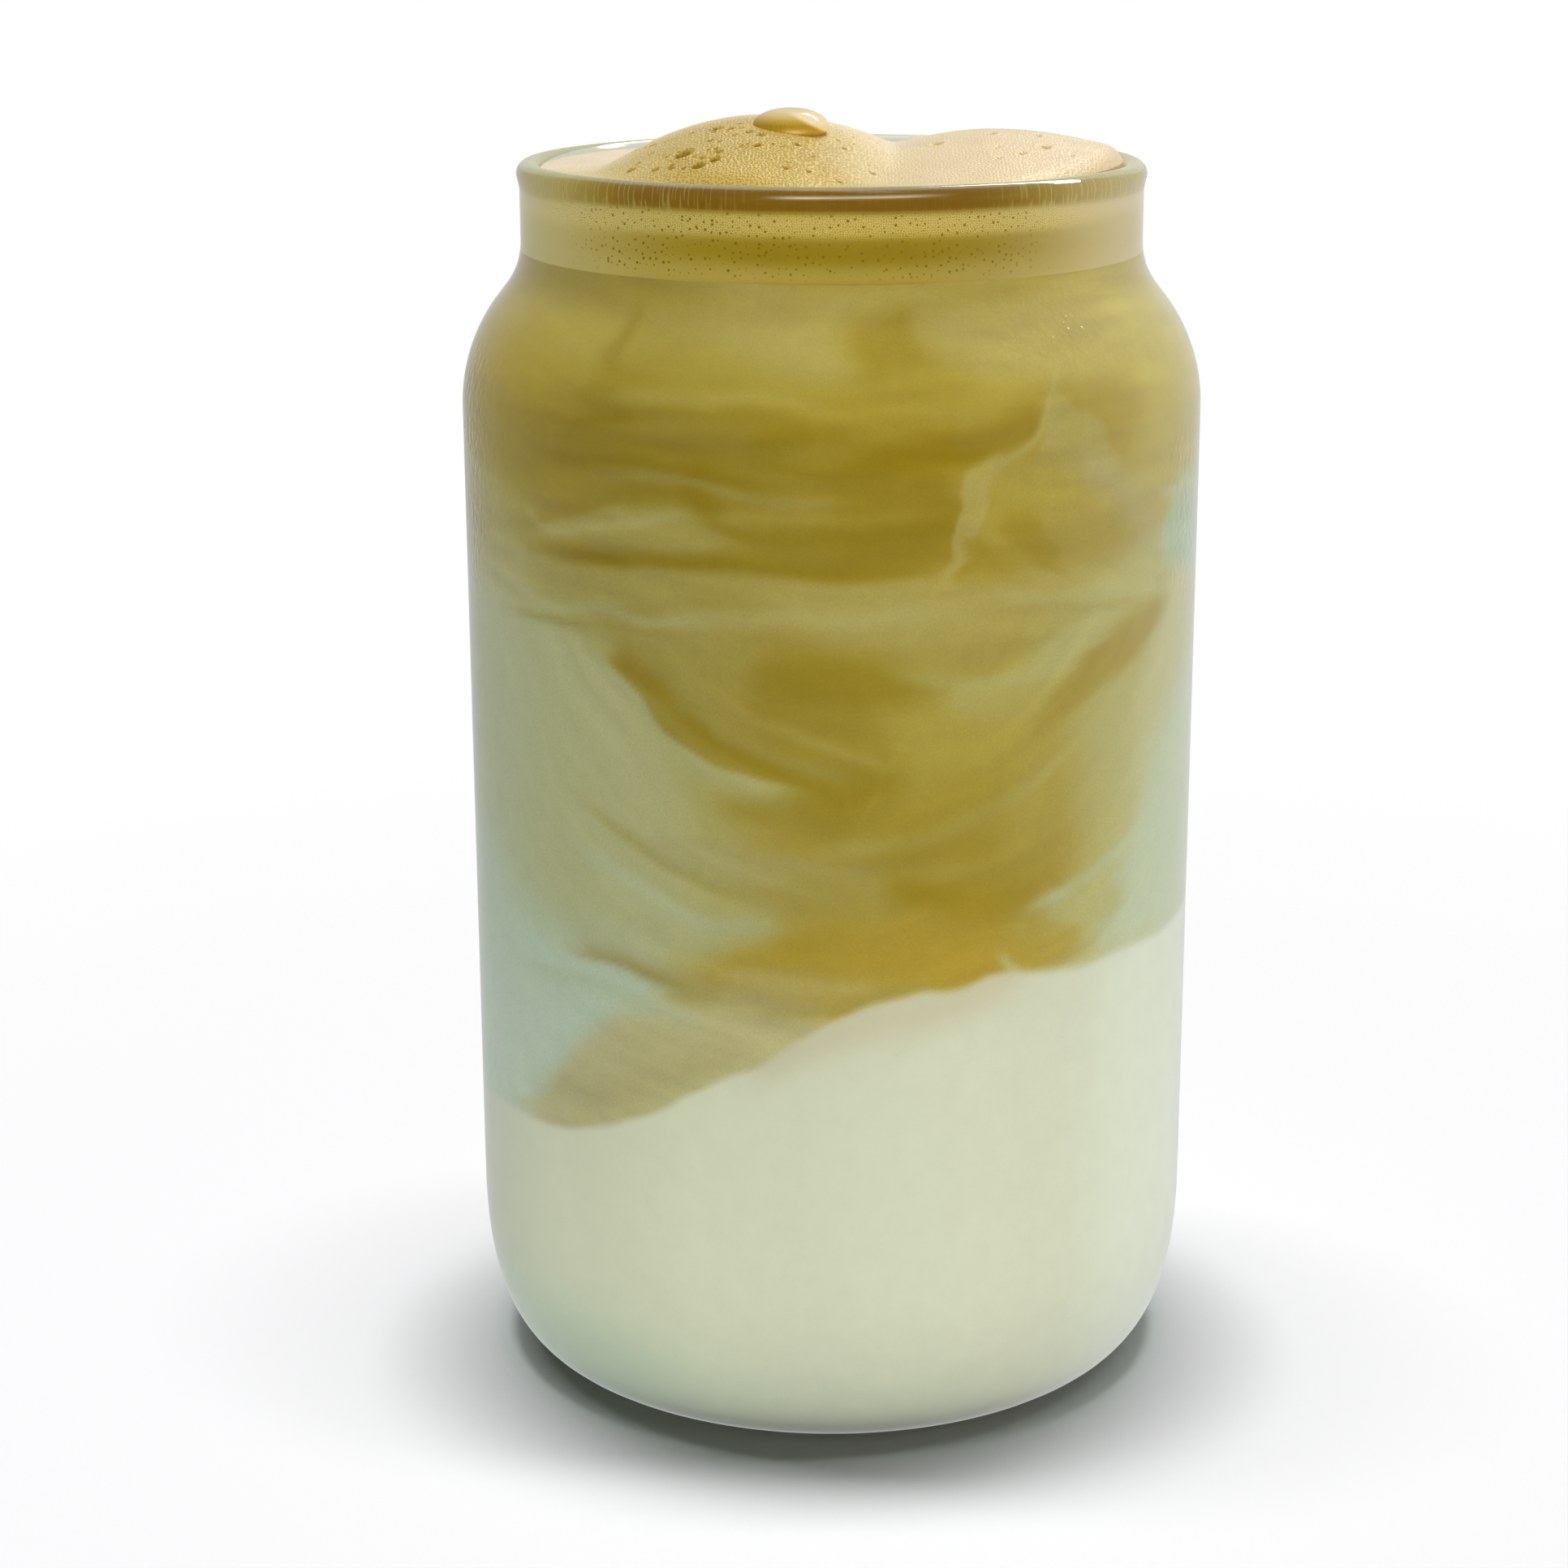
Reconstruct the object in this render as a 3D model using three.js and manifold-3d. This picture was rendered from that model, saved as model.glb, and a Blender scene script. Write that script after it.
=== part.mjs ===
// Hojicha latte in a can-shaped glass: a clear tumbler with a short neck, cold milk below,
// roasted-tea milk above it, and a head of fine foam that stands over the brim in two mounds.
// Millimetres, +Z up. The origin is the centre of the glass's foot, on the surface it stands on.
import * as THREE from "three";
import Module from "manifold-3d";
import { mergeVertices } from "three/addons/utils/BufferGeometryUtils.js";

// Glass, outside
const HEIGHT = 127;
const BODY_RADIUS = 38;
const HEEL_WIDTH = 10;
const HEEL_HEIGHT = 20;
const HEEL_POWER = 2.6;
const SHOULDER_START = 102.4;
const SHOULDER_RADIUS = 17.6;
const SHOULDER_ANGLE = 0.668;
const SHOULDER_FLAT = 1.5;
const NECK_FILLET = 7.5;

// Glass, wall, floor and rolled rim
const WALL = 2.2;
const FLOOR = 2.4;
const INNER_HEEL_WIDTH = 8.6;
const INNER_HEEL_HEIGHT = 17.8;
const RIM_SWELL = 0.3;
const RIM_ROUND = 1.3;
const RIM_FLARE = 1.4;
const PUNT_RADIUS = 22;
const PUNT_DEPTH = 0.6;

// Drink: the milk's upper face stands low on the left and high on the right
const GAP = 0.3;
const LAYER_LOW = 29;
const LAYER_HIGH = 50.6;
const RISE = [-75, 38];
const FALL = [100, 285];
const LAYER_MIDDLE = 40;
const FOAM_BOTTOM = 117.8;

// Foam head: an edge just under the rim, a base level and two mounds on it
const FOAM_EDGE = 126.1;
const FOAM_LEVEL = 126.4;
const FOAM_ROLL = 2;
const MOUND_FOOT = 0.12;
const MOUNDS = [
  { x: -6.6, y: -8, left: 16.3, right: 12.9, front: 22, back: 29.2, height: 5.35, power: 1 },
  { x: 16.3, y: -3, left: 21.4, right: 24.4, front: 26, back: 19.3, height: 3.7, power: 2.2 },
];

// Large bubble on the left mound
const BUBBLE = { x: -4, y: -13, radius: 3.7, half: 1.7 };

// Facets
const TURNS = 56;
const HEEL_STEPS = 6;
const SHOULDER_STEPS = 5;
const FILLET_STEPS = 4;
const RIM_STEPS = 6;
const SURFACE_RINGS = 7;
const FOAM_SHARES = [0.99, 0.965, 0.93, 0.86, 0.78, 0.7, 0.62, 0.54, 0.46, 0.38, 0.3, 0.2, 0.1, 0];
const BUBBLE_TURNS = 20;
const BUBBLE_STEPS = 8;

const wasm = await Module();
wasm.setup();

const clamp = THREE.MathUtils.clamp;
const ease = (t) => THREE.MathUtils.smoothstep(t, 0, 1);
const degrees = (x, y) => THREE.MathUtils.radToDeg(Math.atan2(x, -y));

// One side of the glass wall from its heel to the rim, set in from the outside by an offset
function wallLine(offset, floor, heelWidth, heelHeight, top) {
  const line = [];
  const radius = BODY_RADIUS - offset;
  for (let i = 0; i <= HEEL_STEPS; i++) {
    const a = (i / HEEL_STEPS) * (Math.PI / 2);
    const across = Math.sin(a) ** (2 / HEEL_POWER);
    const down = Math.cos(a) ** (2 / HEEL_POWER);
    line.push([radius - heelWidth * (1 - across), floor + heelHeight * (1 - down)]);
  }
  const convex = SHOULDER_RADIUS - offset;
  for (let i = 0; i <= SHOULDER_STEPS; i++) {
    const a = (i / SHOULDER_STEPS) * SHOULDER_ANGLE;
    line.push([radius - convex * (1 - Math.cos(a)), SHOULDER_START + convex * Math.sin(a)]);
  }
  const [r, z] = line[line.length - 1];
  const slopeEnd = [
    r - SHOULDER_FLAT * Math.sin(SHOULDER_ANGLE),
    z + SHOULDER_FLAT * Math.cos(SHOULDER_ANGLE),
  ];
  const concave = NECK_FILLET + offset;
  for (let i = 0; i <= FILLET_STEPS; i++) {
    const a = SHOULDER_ANGLE * (1 - i / FILLET_STEPS);
    line.push([
      slopeEnd[0] - concave * (Math.cos(a) - Math.cos(SHOULDER_ANGLE)),
      slopeEnd[1] + concave * (Math.sin(SHOULDER_ANGLE) - Math.sin(a)),
    ]);
  }
  const neck = line[line.length - 1][0];
  line.push([neck, top]);
  return line;
}

// The stretch of a line between two heights, with new end points on it
function stretch(line, low, high) {
  const at = (z) => {
    const i = line.findIndex((p, k) => k > 0 && line[k - 1][1] <= z && p[1] >= z);
    const [a, b] = [line[i - 1], line[i]];
    return [THREE.MathUtils.mapLinear(z, a[1], b[1], a[0], b[0]), z];
  };
  return [at(low), ...line.filter(([, z]) => z > low + GAP && z < high - GAP), at(high)];
}

// A flat run of rings from the axis out to a radius, or back in
function rings(radius, z, count) {
  return Array.from({ length: count }, (_, i) => [(radius * i) / count, z]);
}

// A closed outline turned about the Z axis, each vertex then raised or lowered by a rule
function turned(outline, turns, rule = (x, y, z) => z) {
  const points = outline.map(([r, z]) => new THREE.Vector2(r, z));
  const geometry = new THREE.LatheGeometry(points, turns).rotateX(Math.PI / 2);
  const place = geometry.getAttribute("position");
  for (let i = 0; i < place.count; i++) {
    place.setZ(i, rule(place.getX(i), place.getY(i), place.getZ(i)));
  }
  geometry.computeVertexNormals();
  return geometry;
}

// Height of the face between milk and tea at a place in the glass
function layerHeight(x, y) {
  const turn = degrees(x, y);
  const around = turn < RISE[0] ? turn + 360 : turn;
  const up = ease((around - RISE[0]) / (RISE[1] - RISE[0]));
  const down = ease((around - FALL[0]) / (FALL[1] - FALL[0]));
  const edge = LAYER_LOW + (LAYER_HIGH - LAYER_LOW) * (up - down);
  const out = clamp(Math.hypot(x, y) / (BODY_RADIUS - WALL - GAP), 0, 1);
  return LAYER_MIDDLE + (edge - LAYER_MIDDLE) * out;
}

// How much of a mound's height stands at a place, with a softened foot
function moundShare(mound, x, y) {
  const across = (x - mound.x) / (x < mound.x ? mound.left : mound.right);
  const along = (y - mound.y) / (y < mound.y ? mound.front : mound.back);
  const inside = 1 - across * across - along * along;
  return ((inside + Math.hypot(inside, MOUND_FOOT)) / 2) ** mound.power;
}

// Height of the foam's upper face
function foamHeight(x, y) {
  const raised = MOUNDS.reduce((sum, m) => sum + m.height * moundShare(m, x, y), FOAM_LEVEL);
  const inset = clamp((neckRadius - Math.hypot(x, y)) / FOAM_ROLL, 0, 1);
  return FOAM_EDGE + (raised - FOAM_EDGE) * Math.sqrt(inset * (2 - inset));
}

const solidOf = (geometry) => {
  const bare = geometry.clone();
  bare.deleteAttribute("normal");
  bare.deleteAttribute("uv");
  const whole = mergeVertices(bare, 1e-4);
  return new wasm.Manifold(
    new wasm.Mesh({
      numProp: 3,
      vertProperties: new Float32Array(whole.getAttribute("position").array),
      triVerts: new Uint32Array(whole.index.array),
    }),
  );
};

const geometryOf = (solid) => {
  const { vertProperties, triVerts } = solid.getMesh();
  const geometry = new THREE.BufferGeometry();
  geometry.setAttribute("position", new THREE.BufferAttribute(vertProperties, 3));
  geometry.setIndex(new THREE.BufferAttribute(triVerts, 1));
  geometry.computeVertexNormals();
  return geometry;
};

function mesh(name, geometry, color, roughness, opacity = 1) {
  const material = new THREE.MeshStandardMaterial({ color, roughness, metalness: 0, opacity });
  material.transparent = opacity < 1;
  const piece = new THREE.Mesh(geometry, material);
  piece.name = name;
  return piece;
}

// Inside of the glass, less the gap that the drink keeps to it
const fillLine = wallLine(
  WALL + GAP,
  FLOOR + GAP,
  INNER_HEEL_WIDTH,
  INNER_HEEL_HEIGHT,
  HEIGHT,
);
const neckRadius = fillLine[fillLine.length - 1][0];

function glassGeometry() {
  const rimBase = HEIGHT - RIM_ROUND;
  const outside = wallLine(0, 0, HEEL_WIDTH, HEEL_HEIGHT, rimBase - RIM_FLARE);
  const inside = wallLine(WALL, FLOOR, INNER_HEEL_WIDTH, INNER_HEEL_HEIGHT, rimBase - RIM_FLARE);
  const outer = outside[outside.length - 1][0] + RIM_SWELL;
  const inner = inside[inside.length - 1][0];
  const rim = [];
  for (let i = 0; i <= RIM_STEPS; i++) {
    const a = (i / RIM_STEPS) * Math.PI;
    rim.push([
      (outer + inner) / 2 + ((outer - inner) / 2) * Math.cos(a),
      rimBase + RIM_ROUND * Math.sin(a),
    ]);
  }
  const punt = [
    [0, PUNT_DEPTH],
    [PUNT_RADIUS * 0.8, PUNT_DEPTH],
    [PUNT_RADIUS, 0],
  ];
  return turned([...punt, ...outside, ...rim, ...inside.reverse(), [0, FLOOR]], TURNS);
}

function milkGeometry() {
  const heelTop = FLOOR + GAP + INNER_HEEL_HEIGHT;
  const side = [...fillLine.slice(0, HEEL_STEPS + 1), [fillLine[HEEL_STEPS][0], LAYER_MIDDLE]];
  const face = rings(side[side.length - 1][0], LAYER_MIDDLE, SURFACE_RINGS).reverse();
  return turned([[0, FLOOR + GAP], ...side, ...face], TURNS, (x, y, z) => {
    const share = clamp((z - heelTop) / (LAYER_MIDDLE - heelTop), 0, 1);
    return z <= heelTop ? z : heelTop + share * (layerHeight(x, y) - GAP / 2 - heelTop);
  });
}

function teaGeometry() {
  const wall = stretch(fillLine, LAYER_MIDDLE, FOAM_BOTTOM - GAP / 2);
  const face = rings(wall[0][0], LAYER_MIDDLE, SURFACE_RINGS);
  const outline = [...face, ...wall, [0, FOAM_BOTTOM - GAP / 2]];
  return turned(outline, TURNS, (x, y, z) => {
    const share = clamp((SHOULDER_START - z) / (SHOULDER_START - LAYER_MIDDLE), 0, 1);
    return z + share * (layerHeight(x, y) + GAP / 2 - LAYER_MIDDLE);
  });
}

function bubbleGeometry(extra) {
  const base = foamHeight(BUBBLE.x, BUBBLE.y);
  const outline = [];
  for (let i = 0; i <= BUBBLE_STEPS; i++) {
    const a = (i / BUBBLE_STEPS) * Math.PI;
    const radius = (BUBBLE.radius + extra) * Math.sin(a);
    outline.push([i === BUBBLE_STEPS ? 0 : radius, -(BUBBLE.half + extra) * Math.cos(a)]);
  }
  return turned(outline, BUBBLE_TURNS).translate(BUBBLE.x, BUBBLE.y, base);
}

function foamGeometry() {
  const bottom = FOAM_BOTTOM + GAP / 2;
  const side = stretch(fillLine, bottom, FOAM_EDGE);
  const face = FOAM_SHARES.map((share) => [neckRadius * share, FOAM_EDGE]);
  const head = turned([[0, bottom], ...side, ...face], TURNS, (x, y, z) =>
    z < FOAM_EDGE - GAP ? z : foamHeight(x, y),
  );
  return geometryOf(solidOf(head).subtract(solidOf(bubbleGeometry(GAP))));
}

const latte = new THREE.Group();
latte.add(mesh("glass", glassGeometry(), 0xdfe8e4, 0.05, 0.3));
latte.add(mesh("milk", milkGeometry(), 0xd0d6be, 0.4));
latte.add(mesh("tea", teaGeometry(), 0x9c8740, 0.4));
latte.add(mesh("foam", foamGeometry(), 0xe0cb94, 0.75));
latte.add(mesh("bubble", bubbleGeometry(0), 0xc3a45c, 0.1));

export default latte;
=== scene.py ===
import math

import bpy
import numpy as np
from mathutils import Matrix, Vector


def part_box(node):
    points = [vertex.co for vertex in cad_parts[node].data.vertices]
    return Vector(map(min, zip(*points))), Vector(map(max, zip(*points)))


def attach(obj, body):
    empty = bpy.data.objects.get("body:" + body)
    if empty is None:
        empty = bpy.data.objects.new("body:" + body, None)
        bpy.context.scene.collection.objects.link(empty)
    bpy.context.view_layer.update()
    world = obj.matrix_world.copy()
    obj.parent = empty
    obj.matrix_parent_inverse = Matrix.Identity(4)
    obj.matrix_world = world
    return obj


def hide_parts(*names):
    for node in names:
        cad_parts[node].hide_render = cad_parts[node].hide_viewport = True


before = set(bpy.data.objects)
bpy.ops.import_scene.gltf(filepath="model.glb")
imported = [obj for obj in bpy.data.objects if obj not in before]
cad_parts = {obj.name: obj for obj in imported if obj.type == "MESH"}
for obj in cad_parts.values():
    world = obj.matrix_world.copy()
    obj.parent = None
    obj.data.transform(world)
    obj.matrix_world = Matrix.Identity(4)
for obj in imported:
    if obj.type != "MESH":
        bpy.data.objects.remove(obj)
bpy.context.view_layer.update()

bl_info = {
    "name": "Hojicha Latte in a Can Glass",
    "version": (1, 0, 0),
    "blender": (4, 5, 0),
    "location": "View3D > Sidebar > Latte",
    "description": "Builds a layered roasted-tea latte with its foam head and its glass",
    "category": "Add Mesh",
}

MM = 0.001
BODY = "root"
GLASS_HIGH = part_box("glass")[1]
MILK_LOW, MILK_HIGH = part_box("milk")
TEA_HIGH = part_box("tea")[1]
FOAM_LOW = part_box("foam")[0]
BUBBLE_LOW, BUBBLE_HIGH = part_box("bubble")
# Room between the glass and the drink's solids, and between one layer of the drink and the next
GAP = 0.3 * MM
# Columns of points round each piece
GLASS_TURNS, DRINK_TURNS, FOAM_TURNS, BUBBLE_TURNS = 300, 440, 480, 120
# Rows of points up the side of the milk and of the tea
MILK_ROWS, TEA_ROWS = 64, 170
# Rows up the side of the foam, and rings from its edge to the middle of its top
FOAM_ROWS, FOAM_RINGS = 28, 170
# Steps from the foot of the large bubble to its top, and the share of its half height at which it
# leaves the foam
BUBBLE_STEPS = 59
BUBBLE_FREE = 0.275
# How much closer the columns of points stand at the front than all round, and in which direction
# the foam has them closest, in degrees
DRINK_FRONT = 0.4
FOAM_FRONT = 0.6
FOAM_TOWARDS = -30
# Light on the drink at the front, and how much of what it scatters the wall throws back on it
LIGHT = 0.771
THROWN_BACK = 0.247
# Light on the foam in the neck at degrees from the front, its tint, and what the glass mirrors there
NECK_LIGHT = ((-90, 0.61), (-60, 0.63), (-40, 0.65), (-20, 0.73), (0, 0.84), (20, 0.91), (60, 0.95))
NECK_TINT = (0.965, 1.04, 1.0)
NECK_GLOSS = 0.008
# Light on the large bubble, from its visible foot at -1 to its top at 1
FILM_LIGHT = ((-0.7, 0.66), (-0.3, 0.8), (0.1, 0.97), (0.5, 1.02))


def smooth(value, low, high):
    """0 below low, 1 above high and an eased rise between them."""
    share = np.clip((value - low) / (high - low), 0.0, 1.0)
    return share * share * (3 - 2 * share)


def bell(value, centre, width):
    """1 at the centre, falling off to both sides."""
    return np.exp(-(((value - centre) / width) ** 2))


def to_linear(screen):
    """A colour as it looks on screen, as linear light."""
    return np.where(screen <= 0.04045, screen / 12.92, ((screen + 0.055) / 1.055) ** 2.4)


def linear(screen):
    """The same as the RGBA that a shader takes."""
    return (*to_linear(np.array(screen)).tolist(), 1.0)


# Settings


def length(name, text, value):
    return bpy.props.FloatProperty(
        name=name, description=text, default=value, min=0.0, precision=5, unit="LENGTH"
    )


def lean(name, text, value):
    return bpy.props.FloatProperty(name=name, description=text, default=value, subtype="ANGLE")


def colour(name, text, red, green, blue):
    """A colour given as it looks on screen, in parts of 255."""
    return bpy.props.FloatVectorProperty(
        name=name,
        description=text,
        default=(red / 255, green / 255, blue / 255),
        subtype="COLOR_GAMMA",
        size=3,
        min=0.0,
        max=1.0,
    )


class GlassSettings(bpy.types.PropertyGroup):
    height: length("Height", "Foot to rim", GLASS_HIGH[2])
    body_radius: length("Body radius", "Outside of the straight wall", GLASS_HIGH[0])
    wall: length("Wall", "Thickness of the wall", GLASS_HIGH[0] - MILK_HIGH[0] - GAP)
    floor: length("Floor", "Thickness of the floor", MILK_LOW[2] - GAP)
    heel_width: length("Heel width", "How far the heel draws in", 10 * MM)
    heel_height: length("Heel height", "Where the heel meets the straight wall", 20 * MM)
    inner_heel_width: length("Inner heel width", "The same on the inside", 8.6 * MM)
    inner_heel_height: length("Inner heel height", "The same on the inside", 17.8 * MM)
    shoulder_start: length("Shoulder start", "Height where the shoulder begins", 102.4 * MM)
    shoulder_radius: length("Shoulder radius", "Round of the shoulder", 17.6 * MM)
    shoulder_flat: length("Shoulder flat", "Straight stretch below the neck", 1.5 * MM)
    shoulder_angle: lean("Shoulder angle", "How far the shoulder leans in", 0.668)
    neck_fillet: length("Neck fillet", "Round between shoulder and neck", 7.5 * MM)
    rim_swell: length("Rim swell", "How far the rolled rim stands out", 0.3 * MM)
    rim_round: length("Rim round", "Height of the rim's round", 1.3 * MM)
    rim_flare: length("Rim flare", "Height of the run into the rim", 1.4 * MM)
    punt_radius: length("Punt radius", "Radius of the dished foot", 22 * MM)
    punt_depth: length("Punt depth", "Depth of the dished foot", 0.6 * MM)
    tint: colour("Glass tint", "Faint green of soda-lime glass", 247, 252, 249)
    fog: colour("Fog", "Fine mist on the cold glass", 214, 226, 222)
    # Painted sheen: a pale matt layer laid over the rolled rim
    painted_rim_sheen: colour("Rim sheen", "Pale sheen of the rolled rim", 216, 220, 184)
    # Painted highlight: a warm matt strip laid on the glass below the rim
    strip: colour("Strip", "Warm highlight below the rim", 246, 234, 196)


class DrinkSettings(bpy.types.PropertyGroup):
    reach: length("Reach", "How far the drink stands in the glass wall", 0.2 * MM)
    layer_low: length("Layer low", "Lowest point of the milk's upper edge", 29 * MM)
    layer_high: length("Layer high", "Highest point of the milk's upper edge", 50.6 * MM)
    layer_middle: length("Layer middle", "Milk level on the glass's axis", 40 * MM)
    milk: colour("Milk", "Cold milk at the front", 206, 203, 179)
    bright: colour("Bright milk", "Milk where it takes the most light", 220, 216, 189)
    cool: colour("Cool milk", "Milk on the shaded side", 209, 210, 191)
    mint: colour("Mint", "Greener milk at the foot", 190, 201, 177)
    cream: colour("Cream", "Blush of tea in the milk", 197, 188, 159)
    tea: colour("Tea", "Roasted-tea milk", 154, 131, 48)
    brown: colour("Brown", "Stronger tea", 149, 124, 38)
    dark: colour("Dark", "Dark threads of tea", 143, 118, 26)
    deep: colour("Deep", "The darkest threads", 133, 107, 10)
    amber: colour("Amber", "Fresh tea over the milk", 168, 137, 46)
    gold: colour("Gold", "Tea just below the foam", 165, 144, 62)
    pale: colour("Pale", "Tea with more milk", 167, 149, 80)
    straw: colour("Straw", "Milky yellow mix", 171, 162, 102)
    olive: colour("Olive", "Greenish threads", 157, 140, 70)
    sage: colour("Sage", "Thin grey-green mix", 182, 176, 128)
    fern: colour("Fern", "Thin greener mix", 173, 169, 127)
    mist: colour("Mist", "Blue-grey mix near the milk", 188, 198, 177)
    frost: colour("Frost", "Lighter blue-grey mix", 178, 184, 152)
    tan: colour("Tan", "Brownish mix over the milk", 187, 173, 126)
    umber: colour("Umber", "Brown-grey threads", 164, 149, 100)
    sand: colour("Sand", "Light sandy mix", 183, 174, 122)
    ice: colour("Ice", "Sunk ice behind the mix", 156, 170, 138)
    syrup: colour("Syrup", "Clear strong tea at the shoulder", 160, 134, 14)
    ochre: colour("Ochre", "Warm tea at the right shoulder", 172, 154, 70)


class FoamSettings(bpy.types.PropertyGroup):
    edge: length("Edge", "Height of the foam at the glass", 126.1 * MM)
    level: length("Level", "Height of the foam between the mounds", 126.4 * MM)
    roll: length("Roll", "Width of the foam's rolled edge", 2 * MM)
    cream: colour("Cream", "Dry foam", 240, 220, 180)
    blush: colour("Blush", "Dry foam of the right mound", 230, 205, 158)
    gold: colour("Gold", "Wet foam of the left mound", 206, 175, 84)
    rind: colour("Rind", "Foam behind the glass at the left", 175, 163, 102)
    shell: colour("Shell", "Foam behind the glass at the right", 204, 189, 132)
    olive: colour("Olive", "Foam behind the glass at the front", 150, 129, 43)
    hem: colour("Hem", "Paler foam where it meets the drink", 172, 152, 70)
    moss: colour("Moss", "Tea drawn up into the foam", 140, 117, 28)
    honey: colour("Honey", "Comb of bubbles on the glass", 188, 160, 78)
    # Painted shade: this dark amber is the shade seen through the rolled rim, laid on the foam below it
    amber: colour("Amber", "Wet foam at the rim", 122, 90, 2)
    pit: colour("Pit", "Inside of the open bubbles", 160, 124, 24)
    network: colour("Network", "Walls between the bubbles that lie on the glass", 222, 194, 112)
    pore: colour("Pore", "Dark pores of the foam behind the glass", 118, 90, 12)
    film_dark: colour("Film dark", "Large bubble where it shows the wet foam below", 172, 138, 36)
    # Painted reflection: the bright colour laid where the bubble mirrors the lights
    film_painted_reflection: colour("Film light", "Large bubble where it mirrors the light foam", 238, 217, 176)
    film_rim: colour("Film rim", "Large bubble along its upper edge", 225, 203, 158)


class StageSettings(bpy.types.PropertyGroup):
    distance: length("Camera distance", "From the glass's axis", 339 * MM)
    rise: length("Camera height", "Above the floor", 156.2 * MM)
    pitch: lean("Camera pitch", "Below the horizon", math.radians(15.69))
    lens: bpy.props.FloatProperty(
        name="Lens", description="In millimetres on a 36 mm sensor", default=75.56
    )
    shift: bpy.props.FloatProperty(
        name="Shift", description="Sideways, as a share of the width", default=-0.0304
    )
    floor: colour("Floor", "Plain pale floor", 140, 140, 141)


# Shader arithmetic


class Number:
    """A shader socket that takes part in Python arithmetic by adding Math nodes."""

    def __init__(self, shader, socket):
        self.shader = shader
        self.socket = socket

    def _math(self, operation, first, second):
        node = self.shader.node("ShaderNodeMath", {"operation": operation}, {0: first, 1: second})
        return Number(self.shader, node.outputs[0])

    def __add__(self, other):
        return self._math("ADD", self, other)

    def __radd__(self, other):
        return self._math("ADD", other, self)

    def __sub__(self, other):
        return self._math("SUBTRACT", self, other)

    def __rsub__(self, other):
        return self._math("SUBTRACT", other, self)

    def __mul__(self, other):
        return self._math("MULTIPLY", self, other)

    def __rmul__(self, other):
        return self._math("MULTIPLY", other, self)

    def __truediv__(self, other):
        return self._math("DIVIDE", self, other)

    def __pow__(self, other):
        return self._math("POWER", self, other)

    def above(self, limit):
        return self._math("GREATER_THAN", self, limit)

    def clamped(self):
        return self._math("MINIMUM", self._math("MAXIMUM", self, 0.0), 1.0)


class Shader:
    """A material or the surroundings under construction: one method makes every node."""

    def __init__(self, owner):
        self.owner = owner
        self.owner.use_nodes = True
        self.tree = self.owner.node_tree
        self.tree.nodes.clear()

    def node(self, kind, settings=None, inputs=None):
        """A node of a kind, with its settings set first and then its socket values or links."""
        node = self.tree.nodes.new(kind)
        for key, value in (settings or {}).items():
            setattr(node, key, value)
        for key, value in (inputs or {}).items():
            if isinstance(value, Number):
                value = value.socket
            if isinstance(value, bpy.types.NodeSocket):
                self.tree.links.new(value, node.inputs[key])
            else:
                node.inputs[key].default_value = value
        return node

    def number(self, socket):
        return Number(self, socket)

    def attribute(self, name):
        return self.node("ShaderNodeAttribute", {"attribute_name": name})

    def shares(self, *names):
        """Numbers stored in the mesh."""
        return [self.number(self.attribute(name).outputs["Fac"]) for name in names]

    def place(self):
        return self.node("ShaderNodeTexCoord").outputs["Object"]

    def stretched(self, place, scale):
        return self.node("ShaderNodeMapping", None, {"Vector": place, "Scale": scale}).outputs[0]

    def noise(self, place, scale, detail, settings=None, **more):
        """Soft noise round 0.5, in spots of one part in scale of a metre."""
        inputs = {"Vector": place, "Scale": scale, "Detail": detail, **more}
        return self.number(self.node("ShaderNodeTexNoise", settings, inputs).outputs["Fac"])

    def mixed(self, first, second, factor, blend="MIX"):
        """Two colours mixed by a factor."""
        settings = {"data_type": "RGBA", "blend_type": blend}
        inputs = {"Factor": factor, 6: first, 7: second}
        return self.node("ShaderNodeMix", settings, inputs).outputs[2]

    def shaded(self, tone, shade):
        """A colour times a number."""
        grey = self.node("ShaderNodeCombineColor", None, dict.fromkeys(range(3), shade))
        return self.mixed(tone, grey.outputs[0], 1.0, "MULTIPLY")

    def bump(self, height, distance, strength=1.0, under=None):
        inputs = {"Height": height, "Distance": distance, "Strength": strength}
        if under is not None:
            inputs["Normal"] = under
        return self.node("ShaderNodeBump", None, inputs).outputs[0]

    def body(self, base, roughness, specular=0.5, **more):
        """A surface of the general kind."""
        inputs = {"Base Color": base, "Roughness": roughness, "Specular IOR Level": specular}
        for key, value in more.items():
            inputs[key.replace("_", " ")] = value
        return self.node("ShaderNodeBsdfPrincipled", None, inputs).outputs[0]

    def matt(self, screen):
        return self.node("ShaderNodeBsdfDiffuse", None, {"Color": linear(screen)}).outputs[0]

    def over(self, factor, below, above):
        """One surface laid over another by a factor."""
        return self.node("ShaderNodeMixShader", None, {0: factor, 1: below, 2: above}).outputs[0]

    def finish(self, surface):
        self.node("ShaderNodeOutputMaterial", None, {"Surface": surface})
        return self.owner


# Shape of the glass, as the construction has it

# How square the heel is, and steps in each arc of the side line
HEEL_POWER = 2.6
HEEL_STEPS, SHOULDER_STEPS, FILLET_STEPS, RIM_STEPS = 22, 16, 10, 40


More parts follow.
